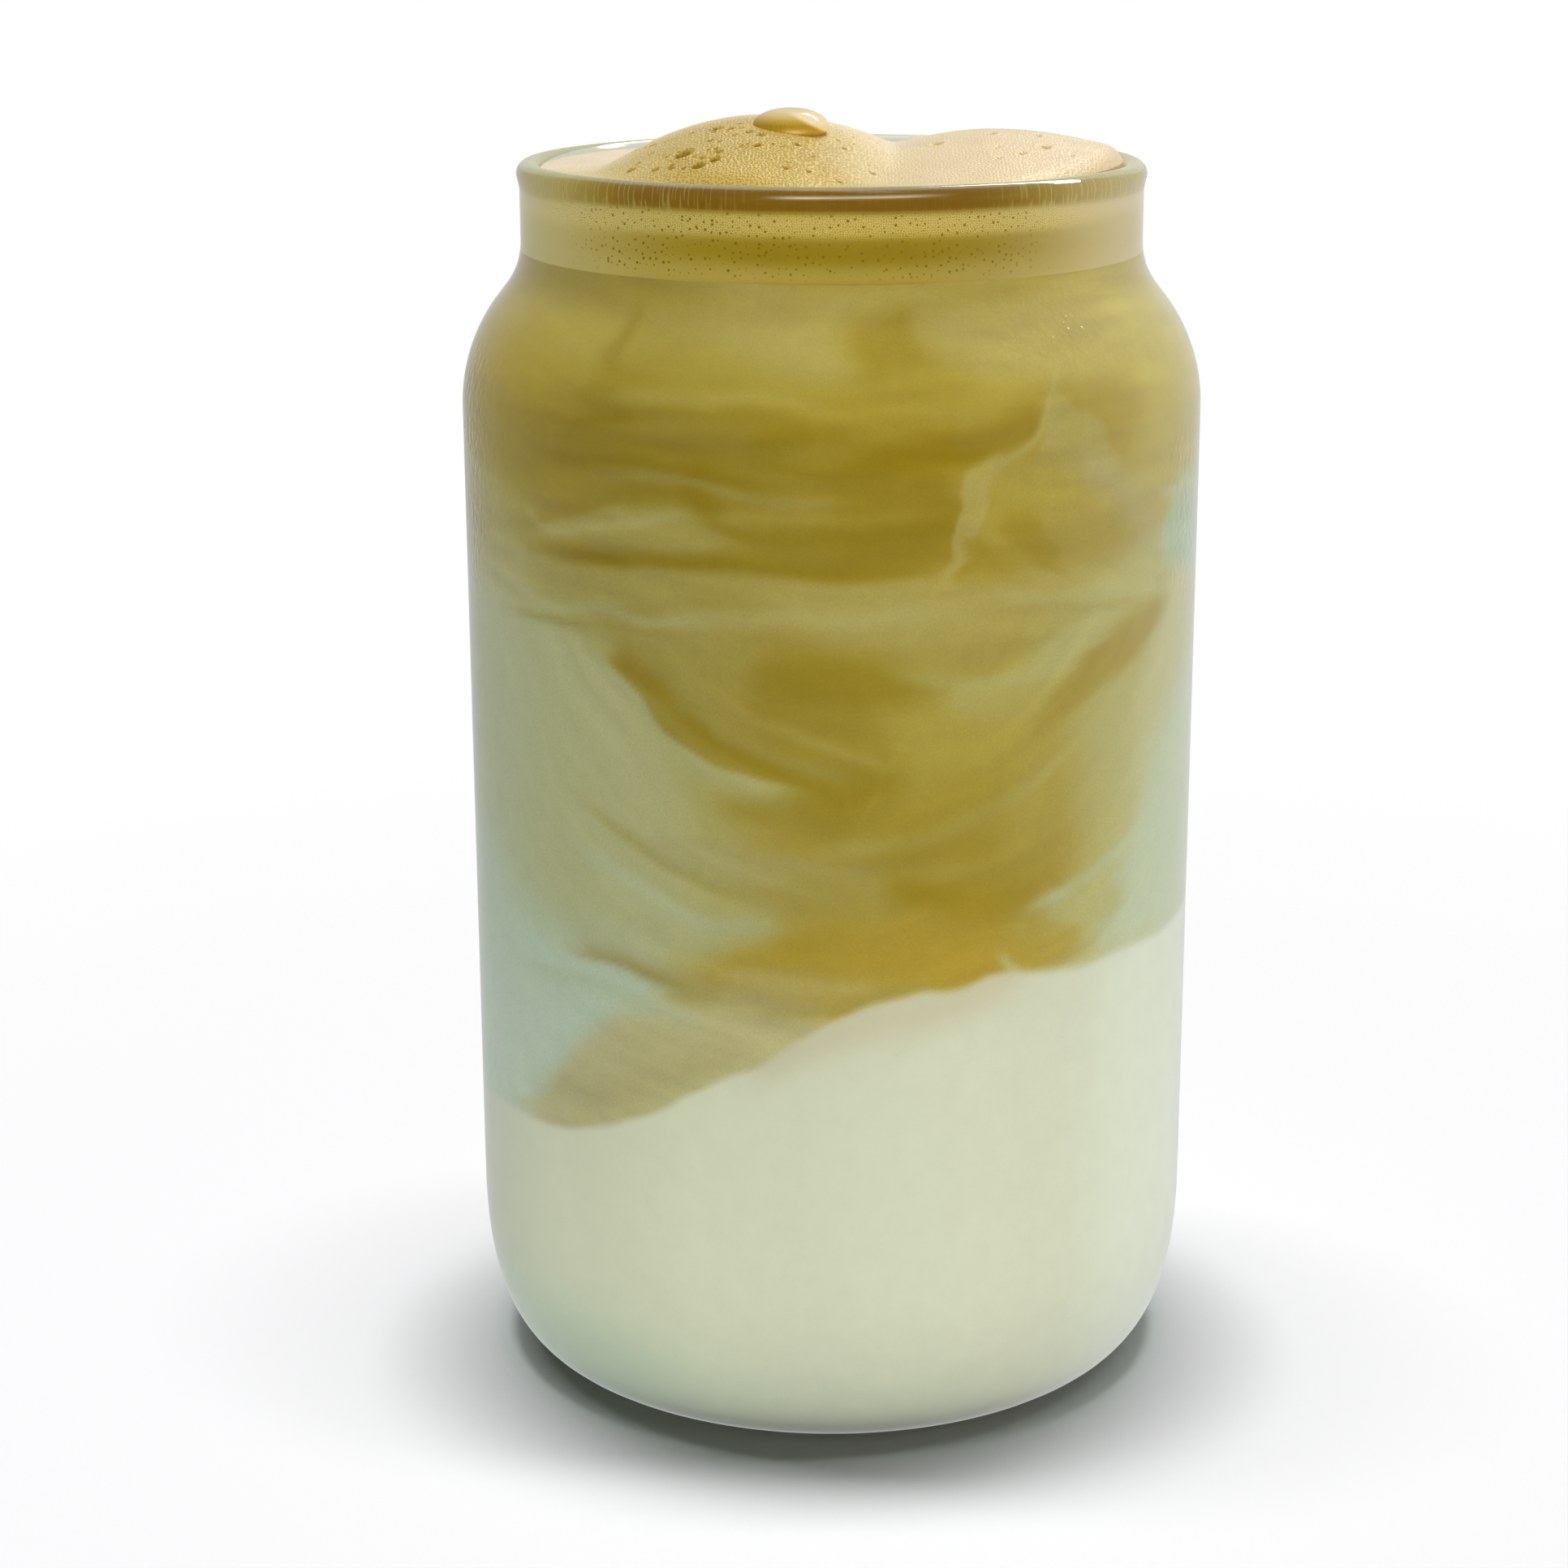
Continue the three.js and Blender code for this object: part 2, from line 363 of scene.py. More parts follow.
def wall_line(glass, offset, floor, heel_width, heel_height, top):
    """Points (radius, height) up one side of the glass wall, set in from the outside."""
    radius = glass.body_radius - offset
    tilt = glass.shoulder_angle
    line = []
    for a in np.linspace(0, math.pi / 2, HEEL_STEPS + 1):
        across = math.sin(a) ** (2 / HEEL_POWER)
        down = abs(math.cos(a)) ** (2 / HEEL_POWER)
        line.append((radius - heel_width * (1 - across), floor + heel_height * (1 - down)))
    convex = glass.shoulder_radius - offset
    for a in np.linspace(0, tilt, SHOULDER_STEPS + 1):
        line.append(
            (radius - convex * (1 - math.cos(a)), glass.shoulder_start + convex * math.sin(a))
        )
    slope = (
        line[-1][0] - glass.shoulder_flat * math.sin(tilt),
        line[-1][1] + glass.shoulder_flat * math.cos(tilt),
    )
    concave = glass.neck_fillet + offset
    for a in np.linspace(tilt, 0, FILLET_STEPS + 1):
        line.append(
            (
                slope[0] - concave * (math.cos(a) - math.cos(tilt)),
                slope[1] + concave * (math.sin(tilt) - math.sin(a)),
            )
        )
    line.append((line[-1][0], top))
    return np.array(line)


def inner_line(glass, offset, top):
    """The inside of the glass, or a surface set in from it."""
    lift = offset - glass.wall
    return wall_line(
        glass, offset, glass.floor + lift, glass.inner_heel_width, glass.inner_heel_height, top
    )


def radius_at(line, heights):
    """Radius of a side line at some heights."""
    return np.interp(heights, line[:, 1], line[:, 0])


# Meshes


def ring_mesh(name, rings, low_pole, high_pole, attributes, finish):
    """One closed surface from rings of points, each ring a row, capped by a point at each end."""
    rows, turns, _ = rings.shape
    index = np.arange(rows * turns).reshape(rows, turns)
    after = np.roll(index, -1, axis=1)
    faces = np.stack([index[:-1], after[:-1], after[1:], index[1:]], axis=-1).reshape(-1, 4).tolist()
    ends = (after[0], index[0]), (index[-1], after[-1])
    for tip, (ring, following) in enumerate(ends, rows * turns):
        faces += [(a, b, tip) for a, b in zip(ring.tolist(), following.tolist())]
    mesh = bpy.data.meshes.new(name)
    mesh.from_pydata(np.vstack([rings.reshape(-1, 3), low_pole, high_pole]).tolist(), [], faces)
    for key, values in attributes.items():
        add_attribute(mesh, key, values)
    mesh.shade_smooth()
    mesh.set_sharp_from_angle(angle=math.radians(50))
    return show(name, mesh, finish)


def add_attribute(mesh, name, values):
    """Stores one number or one colour for each vertex."""
    values = np.asarray(values, dtype=np.float32)
    if values.ndim == 1:
        mesh.attributes.new(name, "FLOAT", "POINT").data.foreach_set("value", values)
    else:
        data = np.hstack([values, np.ones((len(values), 1), dtype=np.float32)])
        layer = mesh.attributes.new(name, "FLOAT_COLOR", "POINT")
        layer.data.foreach_set("color", data.ravel())


def show(name, mesh, finish):
    """Puts a mesh with its material into the scene."""
    piece = bpy.data.objects.new(name, mesh)
    bpy.context.scene.collection.objects.link(piece)
    mesh.materials.append(finish)
    return piece


def dress(piece, node):
    """Rides the piece on the one body and hides the CAD part that it stands for."""
    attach(piece, BODY)
    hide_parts(node)


def columns_round(turns, front=0.0, towards=0.0):
    """Angles from the front, drawn closer together by a share towards a direction in degrees."""
    angle = np.arange(turns) / turns * 2 * math.pi
    return angle - front * np.sin(angle) + math.radians(towards)


def turned_points(radii, heights, turns, front=0.0, towards=0.0):
    """Rings of points for rows of radius and height, the first column in the given direction."""
    angle = columns_round(turns, front, towards)
    radii = np.asarray(radii).reshape(len(radii), -1)
    heights = np.asarray(heights).reshape(len(heights), -1)
    x = radii * np.sin(angle)
    y = -radii * np.cos(angle)
    return np.stack([x, y, np.broadcast_to(heights, x.shape)], axis=-1)


def turn_of(x, y):
    """Degrees round the glass from the front, growing to the right."""
    return np.degrees(np.arctan2(x, -y))


# Glass


# Fine droplets on the outside: degrees from the front and spread, then lower and upper height in
# millimetres
DEW = ((-78, 16, 85, 108), (68, 10, 88, 100), (35, 14, 111, 116))
# How strongly the mist, the painted sheen of the rim and the painted highlight cover the clear glass
MIST_COVER, PAINTED_SHEEN_COVER, PAINTED_HIGHLIGHT_COVER = 0.12, 0.42, 0.62
# Height in millimetres from which droplets lie on the inside too
DEW_INSIDE = 103


def clear_glass(glass):
    """Clear glass with mist, droplets, a rolled rim made paler by painted sheen and a painted warm
    highlight below it.
    """
    shader = Shader(bpy.data.materials.new("clear glass"))
    place = shader.place()
    misty, rim, dew, strip = shader.shares("mist", "rim", "dew", "strip")
    bumps = shader.bump(shader.noise(place, 900.0, 2.0), 0.00002, 0.2)
    bumps = shader.bump(shader.noise(place, 1100.0, 2.0) * dew, 0.00017, 1.0, bumps)
    body = shader.body(linear(glass.tint), 0.05, IOR=1.5, Transmission_Weight=1.0, Normal=bumps)
    edge_on = shader.node("ShaderNodeLayerWeight", None, {"Blend": 0.5}).outputs["Facing"]
    veil = (shader.number(edge_on) ** 3.0) * misty * MIST_COVER
    surface = shader.over(veil.clamped(), body, shader.matt(glass.fog))
    surface = shader.over(rim * PAINTED_SHEEN_COVER, surface, shader.matt(glass.painted_rim_sheen))
    surface = shader.over((strip * PAINTED_HIGHLIGHT_COVER).clamped(), surface, shader.matt(glass.strip))
    lamp = shader.node("ShaderNodeLightPath").outputs["Is Shadow Ray"]
    clear = shader.node("ShaderNodeBsdfTransparent", None, {"Color": linear(glass.tint)})
    return shader.finish(shader.over(lamp, surface, clear.outputs[0]))


def build_glass(context):
    glass = context.scene.latte_glass
    rim_base = glass.height - glass.rim_round
    top = rim_base - glass.rim_flare
    outside = wall_line(glass, 0.0, 0.0, glass.heel_width, glass.heel_height, top)
    inside = inner_line(glass, glass.wall, top)
    outer = outside[-1, 0] + glass.rim_swell
    inner = inside[-1, 0]
    angle = np.linspace(0, math.pi, RIM_STEPS + 1)
    across = (outer + inner) / 2 + (outer - inner) / 2 * np.cos(angle)
    rim = np.stack([across, rim_base + glass.rim_round * np.sin(angle)], axis=-1)
    straight = [(glass.body_radius, z) for z in np.linspace(22, 100, 14) * MM]
    heel = outside[outside[:, 1] <= glass.heel_height]
    shoulder = outside[outside[:, 1] >= glass.shoulder_start]
    punt = [
        (glass.punt_radius * share, glass.punt_depth * (1 - share**4))
        for share in (0.3, 0.6, 0.8, 0.9, 1.0)
    ]
    foot = [(glass.punt_radius + 1 * MM, 0.0)]
    line = np.vstack([punt, foot, heel, straight, shoulder, rim, inside[::-1]])
    rings = turned_points(line[:, 0], line[:, 1], GLASS_TURNS)
    x, y, height = rings.reshape(-1, 3).T / MM
    turn = turn_of(x, y)
    outward = np.hypot(x, y) > (glass.body_radius - glass.wall / 2) / MM
    dew = np.zeros_like(turn)
    for middle, width, low, high in DEW:
        dew += bell(turn, middle, width) * smooth(height, low - 3, low) * smooth(height, high + 3, high)
    dew *= outward | (height > DEW_INSIDE)
    side = smooth(np.abs(turn), 45, 85)
    # Painted highlight: a thin warm strip at about 126 mm from 13 degrees left to 22 right, brightest at 4
    # degrees left of the front
    strip = bell(height, 126.12 + 0.004 * turn, 0.13) * smooth(turn, -13, -6) * smooth(turn, 22, 10)
    strip += 0.6 * bell(height, 126.1, 0.07) * bell(turn, -4, 3)
    marks = {
        "mist": 1 - smooth(height, 112, 120),
        # Painted sheen of the rolled rim, stronger towards the sides
        "rim": smooth(height + 0.4 * side, 126.6, 126.9) * (0.7 + 0.5 * side),
        "dew": dew,
        "strip": strip,
    }
    piece = ring_mesh(
        "glass_shell",
        rings,
        low_pole=(0, 0, glass.punt_depth),
        high_pole=(0, 0, glass.floor),
        attributes={name: np.append(values, [0, 0]) for name, values in marks.items()},
        finish=clear_glass(glass),
    )
    dress(piece, "glass")


# Drink

# The milk's upper edge against the glass: degrees from the front, growing to the right, and
# height in millimetres
MILK_EDGE = (
    (-180, 41), (-150, 37), (-120, 33), (-95, 30), (-78, 29.6), (-68, 30.2), (-58, 30.9),
    (-50, 31.4), (-45, 32), (-40, 33), (-35, 34.1), (-30, 35.7), (-25, 37.5), (-20, 39.4),
    (-15, 41), (-10, 42.8), (-5, 44.8), (0, 47), (5, 48.4), (10, 49.2), (14, 49.8), (18, 49.7),
    (22, 50.1), (25, 50.7), (28, 50.9), (32, 50.4), (40, 49.9), (50, 49.8),
    (65, 49.6), (85, 50), (110, 50), (140, 47.5), (160, 44.5), (180, 41),
)
# Strokes of colour on the drink's outside, laid over each other in this order. Each has its
# pigment, its strength, its softness below and above in millimetres, its fade to the left and right
# in degrees, and the places that it runs through: degrees from the front, then the height in
# millimetres, or the lower and the upper height.
MILK_STROKES = (
    ("bright", 0.95, (60, 60), (16, 14), [(-46, 0, 60), (-24, 0, 60)]),
    ("cool", 0.9, (60, 60), (12, 40), [(56, 0, 60), (90, 0, 60)]),
    ("mint", 0.9, (3, 5), (40, 24), [(-90, -5, 8), (-48, -5, 7)]),
    ("mint", 0.2, (3, 4), (14, 30), [(-34, -5, 5), (20, -5, 4)]),
    ("cool", 0.8, (3, 5), (14, 60), [(64, -5, 8), (90, -5, 8)]),
    ("cream", 0.95, (2.4, 4), (5, 5), [
        (-8, 43.4), (-2, 45.4), (5, 47), (12, 47.8), (20, 48.6), (26, 50),
    ]),
)
TEA_STROKES = (
    # Round the back
    ("pale", 0.8, (4, 6), (24, 24), [(104, 64, 98), (140, 58, 92), (170, 62, 86), (200, 66, 84)]),
    ("straw", 0.6, (3, 5), (16, 16), [(112, 72, 82), (146, 64, 74), (180, 60, 68), (214, 66, 74)]),
    ("mist", 0.8, (4, 7), (20, 20), [(140, 46, 54), (172, 42, 56), (205, 38, 52)]),
    ("frost", 0.6, (2, 4), (14, 14), [(150, 66, 70), (185, 62, 67), (215, 68, 76), (240, 78, 84)]),
    ("brown", 0.7, (1.4, 3), (10, 12), [(160, 57, 60), (190, 56, 61), (215, 61, 66), (244, 70, 74)]),
    ("dark", 0.7, (0.8, 1.4), (12, 12), [(92, 92), (125, 90), (160, 91.4), (195, 89.6), (230, 91.4)]),
    ("dark", 0.5, (1, 1.6), (10, 10), [(120, 103), (160, 101.6), (200, 102.6), (236, 101)]),
    ("amber", 0.7, (1.5, 3.5), (14, 14), [(120, 50, 55), (155, 47, 51), (190, 39, 44), (228, 31, 37)]),
    ("sand", 0.7, (0.6, 1), (9, 9), [(96, 84.6), (130, 82.8), (165, 84.4), (200, 83), (236, 85)]),
    ("pale", 0.6, (2, 3), (16, 16), [(126, 105, 110), (175, 104, 109), (225, 105, 111)]),
    # Broad fields
    ("gold", 0.6, (2.5, 3), (60, 60), [(-80, 112.5, 118), (-20, 111, 118), (20, 110, 118), (80, 107, 118)]),
    ("dark", 0.5, (2.2, 2.2), (8, 7), [(-44, 108), (-34, 108.4)]),
    ("pale", 0.75, (1.5, 2), (12, 12), [(-14, 112, 117), (0, 110.5, 116), (10, 112, 116)]),
    ("pale", 0.75, (1.8, 2), (4, 50), [(22, 110.8, 114), (40, 110, 115), (80, 108, 116)]),
    ("brown", 0.85, (3, 2), (20, 9), [
        (-60, 100, 103.5), (-30, 99.5, 104), (-14, 94, 105), (0, 92.5, 106), (17, 93, 104),
    ]),
    ("pale", 0.9, (2, 1.5), (30, 30), [(-60, 85, 90), (-20, 84.5, 90.3), (0, 85.5, 90), (25, 85, 90)]),
    ("pale", 0.9, (4, 4), (30, 9), [
        (-90, 54, 84), (-50, 53, 83), (-36, 53, 79), (-26, 54, 73), (-17, 56, 68),
    ]),
    ("straw", 0.9, (4, 4), (30, 9), [(-90, 54, 84), (-50, 53, 82), (-36, 53, 78), (-24, 55, 70)]),
    ("sand", 0.9, (4, 3), (30, 10), [(-90, 54, 84), (-50, 53, 82), (-36, 53, 78), (-30, 54, 73)]),
    ("sage", 0.9, (5, 3), (30, 12), [(-90, 55, 84), (-60, 54, 83), (-44, 53, 80), (-38, 54, 76)]),
    ("mist", 1, (2.5, 5), (20, 12), [
        (-95, 26, 56), (-80, 26, 56), (-65, 28, 53), (-55, 31, 50), (-45, 36.5, 48.6), (-34, 44, 48),
    ]),
    ("frost", 0.45, (8, 8), (20, 16), [(-95, 50, 82), (-66, 54, 78)]),
    ("pale", 0.9, (3, 4), (9, 30), [(38, 53, 87), (60, 52, 90), (80, 52, 90)]),
    ("straw", 0.9, (3, 3), (8, 30), [(46, 52, 88), (60, 52, 91), (80, 52, 90)]),
    ("sand", 0.8, (6, 4), (9, 30), [(62, 62, 80), (70, 62, 87), (90, 62, 88)]),
    ("frost", 0.95, (3, 6), (9, 30), [(53, 49, 57), (58, 49, 62), (66, 49, 68), (90, 49, 74)]),
    ("gold", 0.9, (5, 3), (9, 9), [(14, 69, 78), (28, 64, 81), (34, 62, 80)]),
    # Tongue of tea that sinks at the front
    ("brown", 0.6, (4, 4), (12, 10), [(-6, 72, 82), (0, 67, 80), (6, 65, 74)]),
    ("brown", 0.5, (0.7, 2.5), (2.5, 12), [
        (-34, 80, 80.8), (-31, 78.4, 80.2), (-27, 75.8, 79), (-20, 73.4, 77), (-11, 71, 74),
    ]),
    ("pale", 0.5, (1.2, 1.6), (5, 6), [(-31, 83, 84), (-22, 79, 80.5), (-14, 76, 77)]),
    ("olive", 0.6, (0.7, 1), (4, 5), [(-27, 80.4), (-19, 76.6), (-10, 73.2), (0, 71.2)]),
    ("dark", 0.7, (0.6, 0.9), (4, 5), [(-24, 77.2), (-16, 74.2), (-8, 71.6)]),
    ("dark", 0.6, (1.4, 1.8), (6, 6), [(-9, 80.6, 82), (0, 79.6, 81.6), (8, 79.8, 81)]),
    ("pale", 0.45, (0.6, 0.9), (4, 5), [(-12, 77.6), (-3, 74.4), (6, 72.4)]),
    ("gold", 0.5, (0.8, 1), (3, 4), [(7, 70), (10, 74), (15, 77.4), (24, 79)]),
    ("dark", 0.75, (0.7, 1.3), (3, 4), [(-32.5, 80.4), (-30, 79.5), (-27, 79), (-24.5, 78.7)]),
    ("pale", 0.6, (2, 1.5), (4, 5), [(-22, 79.5, 84), (-14, 80.5, 84)]),
    ("dark", 0.75, (1.6, 2.2), (9, 7), [(-7, 68.6), (0, 68.8), (4, 69.5)]),
    ("sage", 0.75, (2.4, 0.5), (4, 6), [
        (-40, 81.2), (-37, 80.6), (-33, 78.6), (-29, 75.9), (-24, 73.8), (-18, 72.1), (-12, 71),
    ]),
    ("gold", 0.6, (2, 2), (4, 8), [(-9, 63.2), (-2, 62.6), (4, 62.8)]),
    # Lower right of the tongue
    ("brown", 0.55, (1.8, 5), (9, 8), [
        (7, 60.4, 61), (12, 60, 63), (18, 59, 65), (24, 57.4, 62), (30, 57.6, 59), (36, 59, 60),
    ]),
    ("straw", 0.4, (0.8, 1.2), (5, 6), [(4, 64), (14, 65), (24, 67.4), (34, 71)]),
    ("umber", 0.5, (0.8, 1.2), (6, 6), [(-20, 63.6), (-8, 62.2), (4, 61.4), (16, 62)]),
    ("sand", 0.4, (0.5, 0.8), (6, 6), [(-30, 66.4), (-18, 62.6), (-6, 60.2)]),
    ("olive", 0.6, (0.5, 0.8), (6, 6), [(-34, 64.4), (-24, 61.2), (-12, 59)]),
    ("dark", 0.8, (1.2, 2.2), (6, 6), [(11, 60.2), (16, 59.6), (20, 58.4), (24, 57.6), (29, 58)]),
    ("olive", 0.8, (1.5, 1.8), (6, 4), [(-4, 57.5, 60), (6, 57.8, 60.5)]),
    ("brown", 0.4, (2.5, 2.5), (4, 4), [(12, 63, 66), (18, 63, 69), (24, 65, 70)]),
    # Thin mix that lies over the milk at the lower left
    ("frost", 0.55, (1.3, 0.9), (6, 6), [(-37, 60.8), (-30, 59.2), (-24, 57.9), (-18, 57), (-12, 56.9)]),
    ("fern", 0.6, (1.8, 2.2), (7, 6), [(-28, 55.5), (-20, 55.3), (-14, 56.2)]),
    ("umber", 0.4, (1.2, 1.8), (6, 7), [(-26, 62.5), (-20, 61.6), (-13, 61.3)]),
    ("tan", 0.95, (2, 2.6), (12, 8), [
        (-50, 30, 34.5), (-44, 30, 39), (-38, 31, 42), (-30, 32, 45), (-20, 34, 46.5), (-10, 38, 47.8),
        (-2, 42, 48.3),
    ]),
    ("umber", 0.35, (1.6, 1.8), (8, 6), [(-46, 36), (-38, 36.8), (-31, 38.8), (-25, 40.4), (-18, 42.2)]),
    ("sand", 0.6, (0.8, 0.9), (8, 8), [
        (-56, 32), (-48, 32.6), (-40, 33.8), (-30, 36.4), (-20, 40), (-12, 42.6),
    ]),
    ("frost", 0.7, (1.6, 0.6), (8, 6), [(-52, 48.6), (-42, 48.6), (-34, 48), (-27, 47.2)]),
    # Amber tea that spreads on the milk
    ("amber", 0.6, (1.4, 2.6), (10, 7), [(-14, 50.4, 53.5), (-5, 50, 55.4), (10, 49, 56), (28, 50, 56)]),
    ("amber", 0.85, (1.2, 1.6), (8, 5), [(6, 49, 52.5), (15, 49.5, 54), (24, 50, 53)]),
    ("tan", 0.4, (1.2, 1.2), (5, 5), [(-14, 51.5), (-4, 51.3), (4, 51)]),
    ("olive", 0.65, (1, 1), (6, 4), [(-6, 48.6), (2, 49.2), (12, 50.2)]),
    ("amber", 0.8, (1, 1.2), (5, 4), [(19, 51.8), (24, 52.2), (28, 52.4)]),
    ("umber", 0.9, (0.5, 1.8), (5, 8), [
        (-39, 51), (-35, 50.9), (-30, 50.2), (-25, 49.5), (-19, 48.9), (-12, 49),
    ]),
    ("olive", 0.6, (0.4, 0.8), (3, 5), [(-31, 50.7), (-27, 50.1), (-22, 49.4)]),
    ("gold", 0.8, (0.8, 2), (4, 4), [(32, 50, 55), (40, 50, 54.5)]),
    ("amber", 0.5, (0.8, 0.8), (3, 3), [(30, 51.5, 53.6), (39, 51.8, 53.5)]),
    ("straw", 0.8, (0.8, 0.9), (3, 3), [(38, 56, 58), (44, 55, 57.4), (49, 55.5, 57)]),
    ("frost", 0.5, (0.9, 0.8), (4, 4), [(35, 58), (39, 58.4), (45, 59.6), (50, 61), (54, 62.6)]),
    ("sand", 0.45, (0.9, 1.6), (4, 9), [(43, 50), (50, 50.2), (58, 50.6)]),
    ("sand", 0.8, (0.8, 0.9), (2, 4), [(28.5, 51.8), (31, 50.6), (36, 50.2), (42, 50.2)]),
    # Fine bands through the upper part
    ("dark", 0.85, (0.7, 1), (7, 7), [
        (-50, 91.4), (-44, 91.1), (-35, 91.2), (-28, 91.6), (-18, 91.9), (-5, 91.9), (8, 91.4),
    ]),
    ("deep", 0.6, (0.8, 0.7), (5, 3), [(-43, 91.2), (-36, 91.1)]),
    ("pale", 0.85, (0.8, 1), (5, 6), [
        (-48, 93.2, 93.8), (-40, 93.2, 95.2), (-30, 93.4, 96.2), (-20, 93.8, 96),
    ]),
    ("sand", 0.45, (0.4, 0.7), (4, 6), [(-51, 94), (-48, 93.3), (-44, 93.4), (-38, 94.2), (-30, 95.4)]),
    ("brown", 0.7, (0.5, 0.9), (4, 3), [(-48, 94.8), (-38, 96.4), (-31, 97.8), (-25, 98.6)]),
    ("deep", 0.5, (1.6, 1.8), (2.4, 2), [(-20.8, 97.5, 100), (-19, 97, 100.5)]),
    ("dark", 0.7, (0.5, 0.8), (2, 6), [(-18.5, 95.8), (-15, 95.3), (0, 95.3), (14, 95)]),
    ("dark", 0.6, (1, 1), (10, 10), [(-44, 105.4), (-20, 105.6), (-4, 105)]),
    ("dark", 0.5, (0.5, 0.5), (4, 4), [(-45, 102.8), (-38, 102.4), (-30, 102.6)]),
    ("deep", 0.4, (0.8, 0.9), (5, 6), [(-24, 103.2), (-14, 103.6), (-4, 104.4)]),
    ("dark", 0.5, (2, 2), (10, 6), [(-72, 98.5, 106), (-62, 97.5, 103)]),
    ("dark", 0.7, (2.2, 2.2), (3, 2.2), [(-39.5, 104, 109), (-36.5, 105, 112)]),
    ("deep", 0.55, (0.5, 0.8), (4, 6), [(-50, 101.2), (-42, 100.6), (-30, 101), (-16, 100.2)]),
    ("olive", 0.7, (0.5, 0.6), (5, 5), [(-34, 99.4), (-24, 100), (-12, 98.6), (-2, 98.8)]),
    ("pale", 0.45, (0.6, 0.9), (5, 5), [(-30, 107), (-20, 106.8), (-10, 107.6), (0, 107)]),
    ("deep", 0.6, (0.4, 0.5), (4, 4), [(-52, 105), (-44, 104.4), (-34, 104.8)]),
    ("dark", 0.7, (0.5, 0.7), (6, 6), [(-8, 102), (2, 101.6), (12, 102)]),
    ("gold", 0.5, (0.5, 0.8), (5, 5), [(-14, 96.8), (-4, 97.4), (8, 97)]),
    ("pale", 0.3, (1, 1.5), (8, 8), [(-62, 108.5, 112), (-46, 108.5, 111)]),
    ("sage", 0.55, (0.4, 0.7), (7, 6), [
        (-58, 87.1), (-54, 86.4), (-49, 85.8), (-42, 86), (-36, 85.8), (-30, 85.4), (-25, 85.6),
    ]),
    ("olive", 0.7, (0.4, 0.4), (5, 3), [(-52, 84.7), (-40, 84.6), (-32, 84.5), (-26, 84.4)]),
    ("sand", 0.35, (1, 1), (8, 10), [(-18, 86.2), (-4, 87.2), (8, 87)]),
    # Fan of paler tea and the sunk ice at the upper right
    ("deep", 0.9, (2, 1.4), (6, 3.5), [(9, 103), (15, 103.3), (22, 103.4, 104.2), (29, 103.8, 105)]),
    ("deep", 0.35, (2, 2), (6, 2), [(5, 94, 99), (14, 94, 100), (16, 95, 101)]),
    ("gold", 0.7, (2, 2), (2, 8), [(21, 94, 99), (30, 94, 101), (44, 93, 99)]),
    ("brown", 0.6, (1.5, 1.5), (5, 4), [(20, 91), (27, 91.4)]),
    ("pale", 0.8, (0.9, 0.7), (1.5, 3), [
        (17.5, 91, 94.5), (20, 93, 99.5), (23, 99, 101.4), (27, 102), (31, 103.7), (34, 106),
        (37, 108.6),
    ]),
    ("brown", 0.7, (0.5, 0.7), (1.2, 1.8), [(19.6, 91, 93.4), (21.5, 92.2, 93.4), (24, 92)]),
    ("dark", 0.6, (0.6, 1.3), (2, 3), [(26, 94.4, 95.4), (30, 93, 95), (34, 91.6, 92.6)]),
    ("olive", 1, (1.3, 0.7), (1, 4), [
        (33, 102, 104.2), (36.2, 101.5, 107), (40, 100.5, 105), (45, 99.5, 102.8), (50, 97.6, 100),
    ]),
    ("umber", 0.55, (2, 1.2), (3, 3), [(44, 99, 100.4), (51, 96.6, 99), (58, 92, 98)]),
    ("umber", 0.5, (1.6, 1.6), (3.5, 2.4), [(54, 97), (57.5, 96.6)]),
    ("ice", 0.95, (2.4, 2.2), (4, 20), [(64, 91, 92), (67, 90, 94.5), (72, 89.5, 95), (78, 88.5, 95.5)]),
    ("mist", 0.5, (0.9, 0.9), (2, 8), [(63, 96.2), (68, 95.4), (74, 95)]),
    ("straw", 0.5, (0.8, 1), (7, 5), [(17, 81.6), (24, 80.8), (34, 80.6), (40, 81)]),
    ("olive", 0.7, (0.9, 1), (5, 5), [(16, 83.6), (26, 83.2), (34, 84.2)]),
    ("straw", 0.85, (1, 1.1), (5, 2.5), [(36, 80.9, 83.4), (41, 80.8, 84.4), (44.5, 82.2, 83.8)]),
    ("gold", 0.7, (1.4, 1.2), (4, 4), [(44, 79.6, 80.6), (50, 79.8, 81.6)]),
    ("straw", 0.6, (1.4, 1), (4, 4), [(21, 79.4, 80.4), (28, 79.2, 80.6), (37, 79.6, 80.8)]),
    ("tea", 0.85, (1.3, 1.8), (5, 6), [
        (36, 76.6, 77.2), (40, 77.4, 78.8), (45, 78.6, 81.2), (50, 80, 83.4), (57, 82.4, 84.2),
    ]),
    ("pale", 0.7, (0.35, 0.35), (5, 4), [(34, 87.2), (42, 86.7), (51, 86.6)]),
    ("straw", 0.5, (0.6, 0.6), (8, 10), [(30, 88.6), (45, 88), (60, 87)]),
    ("pale", 0.6, (1.2, 1.2), (4, 4), [(24, 77.5, 79), (32, 77.5, 79)]),
    ("dark", 0.75, (1.8, 1.6), (5, 3), [(7.5, 111.4, 113.4), (13, 111.8, 114)]),
    ("brown", 0.6, (1.4, 1.8), (8, 4), [(4, 107.6), (12, 108.2), (19, 108.6)]),
    ("syrup", 0.9, (5, 6), (16, 16), [(-82, 98, 110), (-62, 99, 109)]),
    ("sand", 0.5, (3, 3), (30, 12), [(-90, 89, 97), (-64, 90, 95)]),
    ("ochre", 0.75, (4, 5), (6, 30), [(58, 100, 114), (70, 99, 112), (90, 98, 110)]),
)


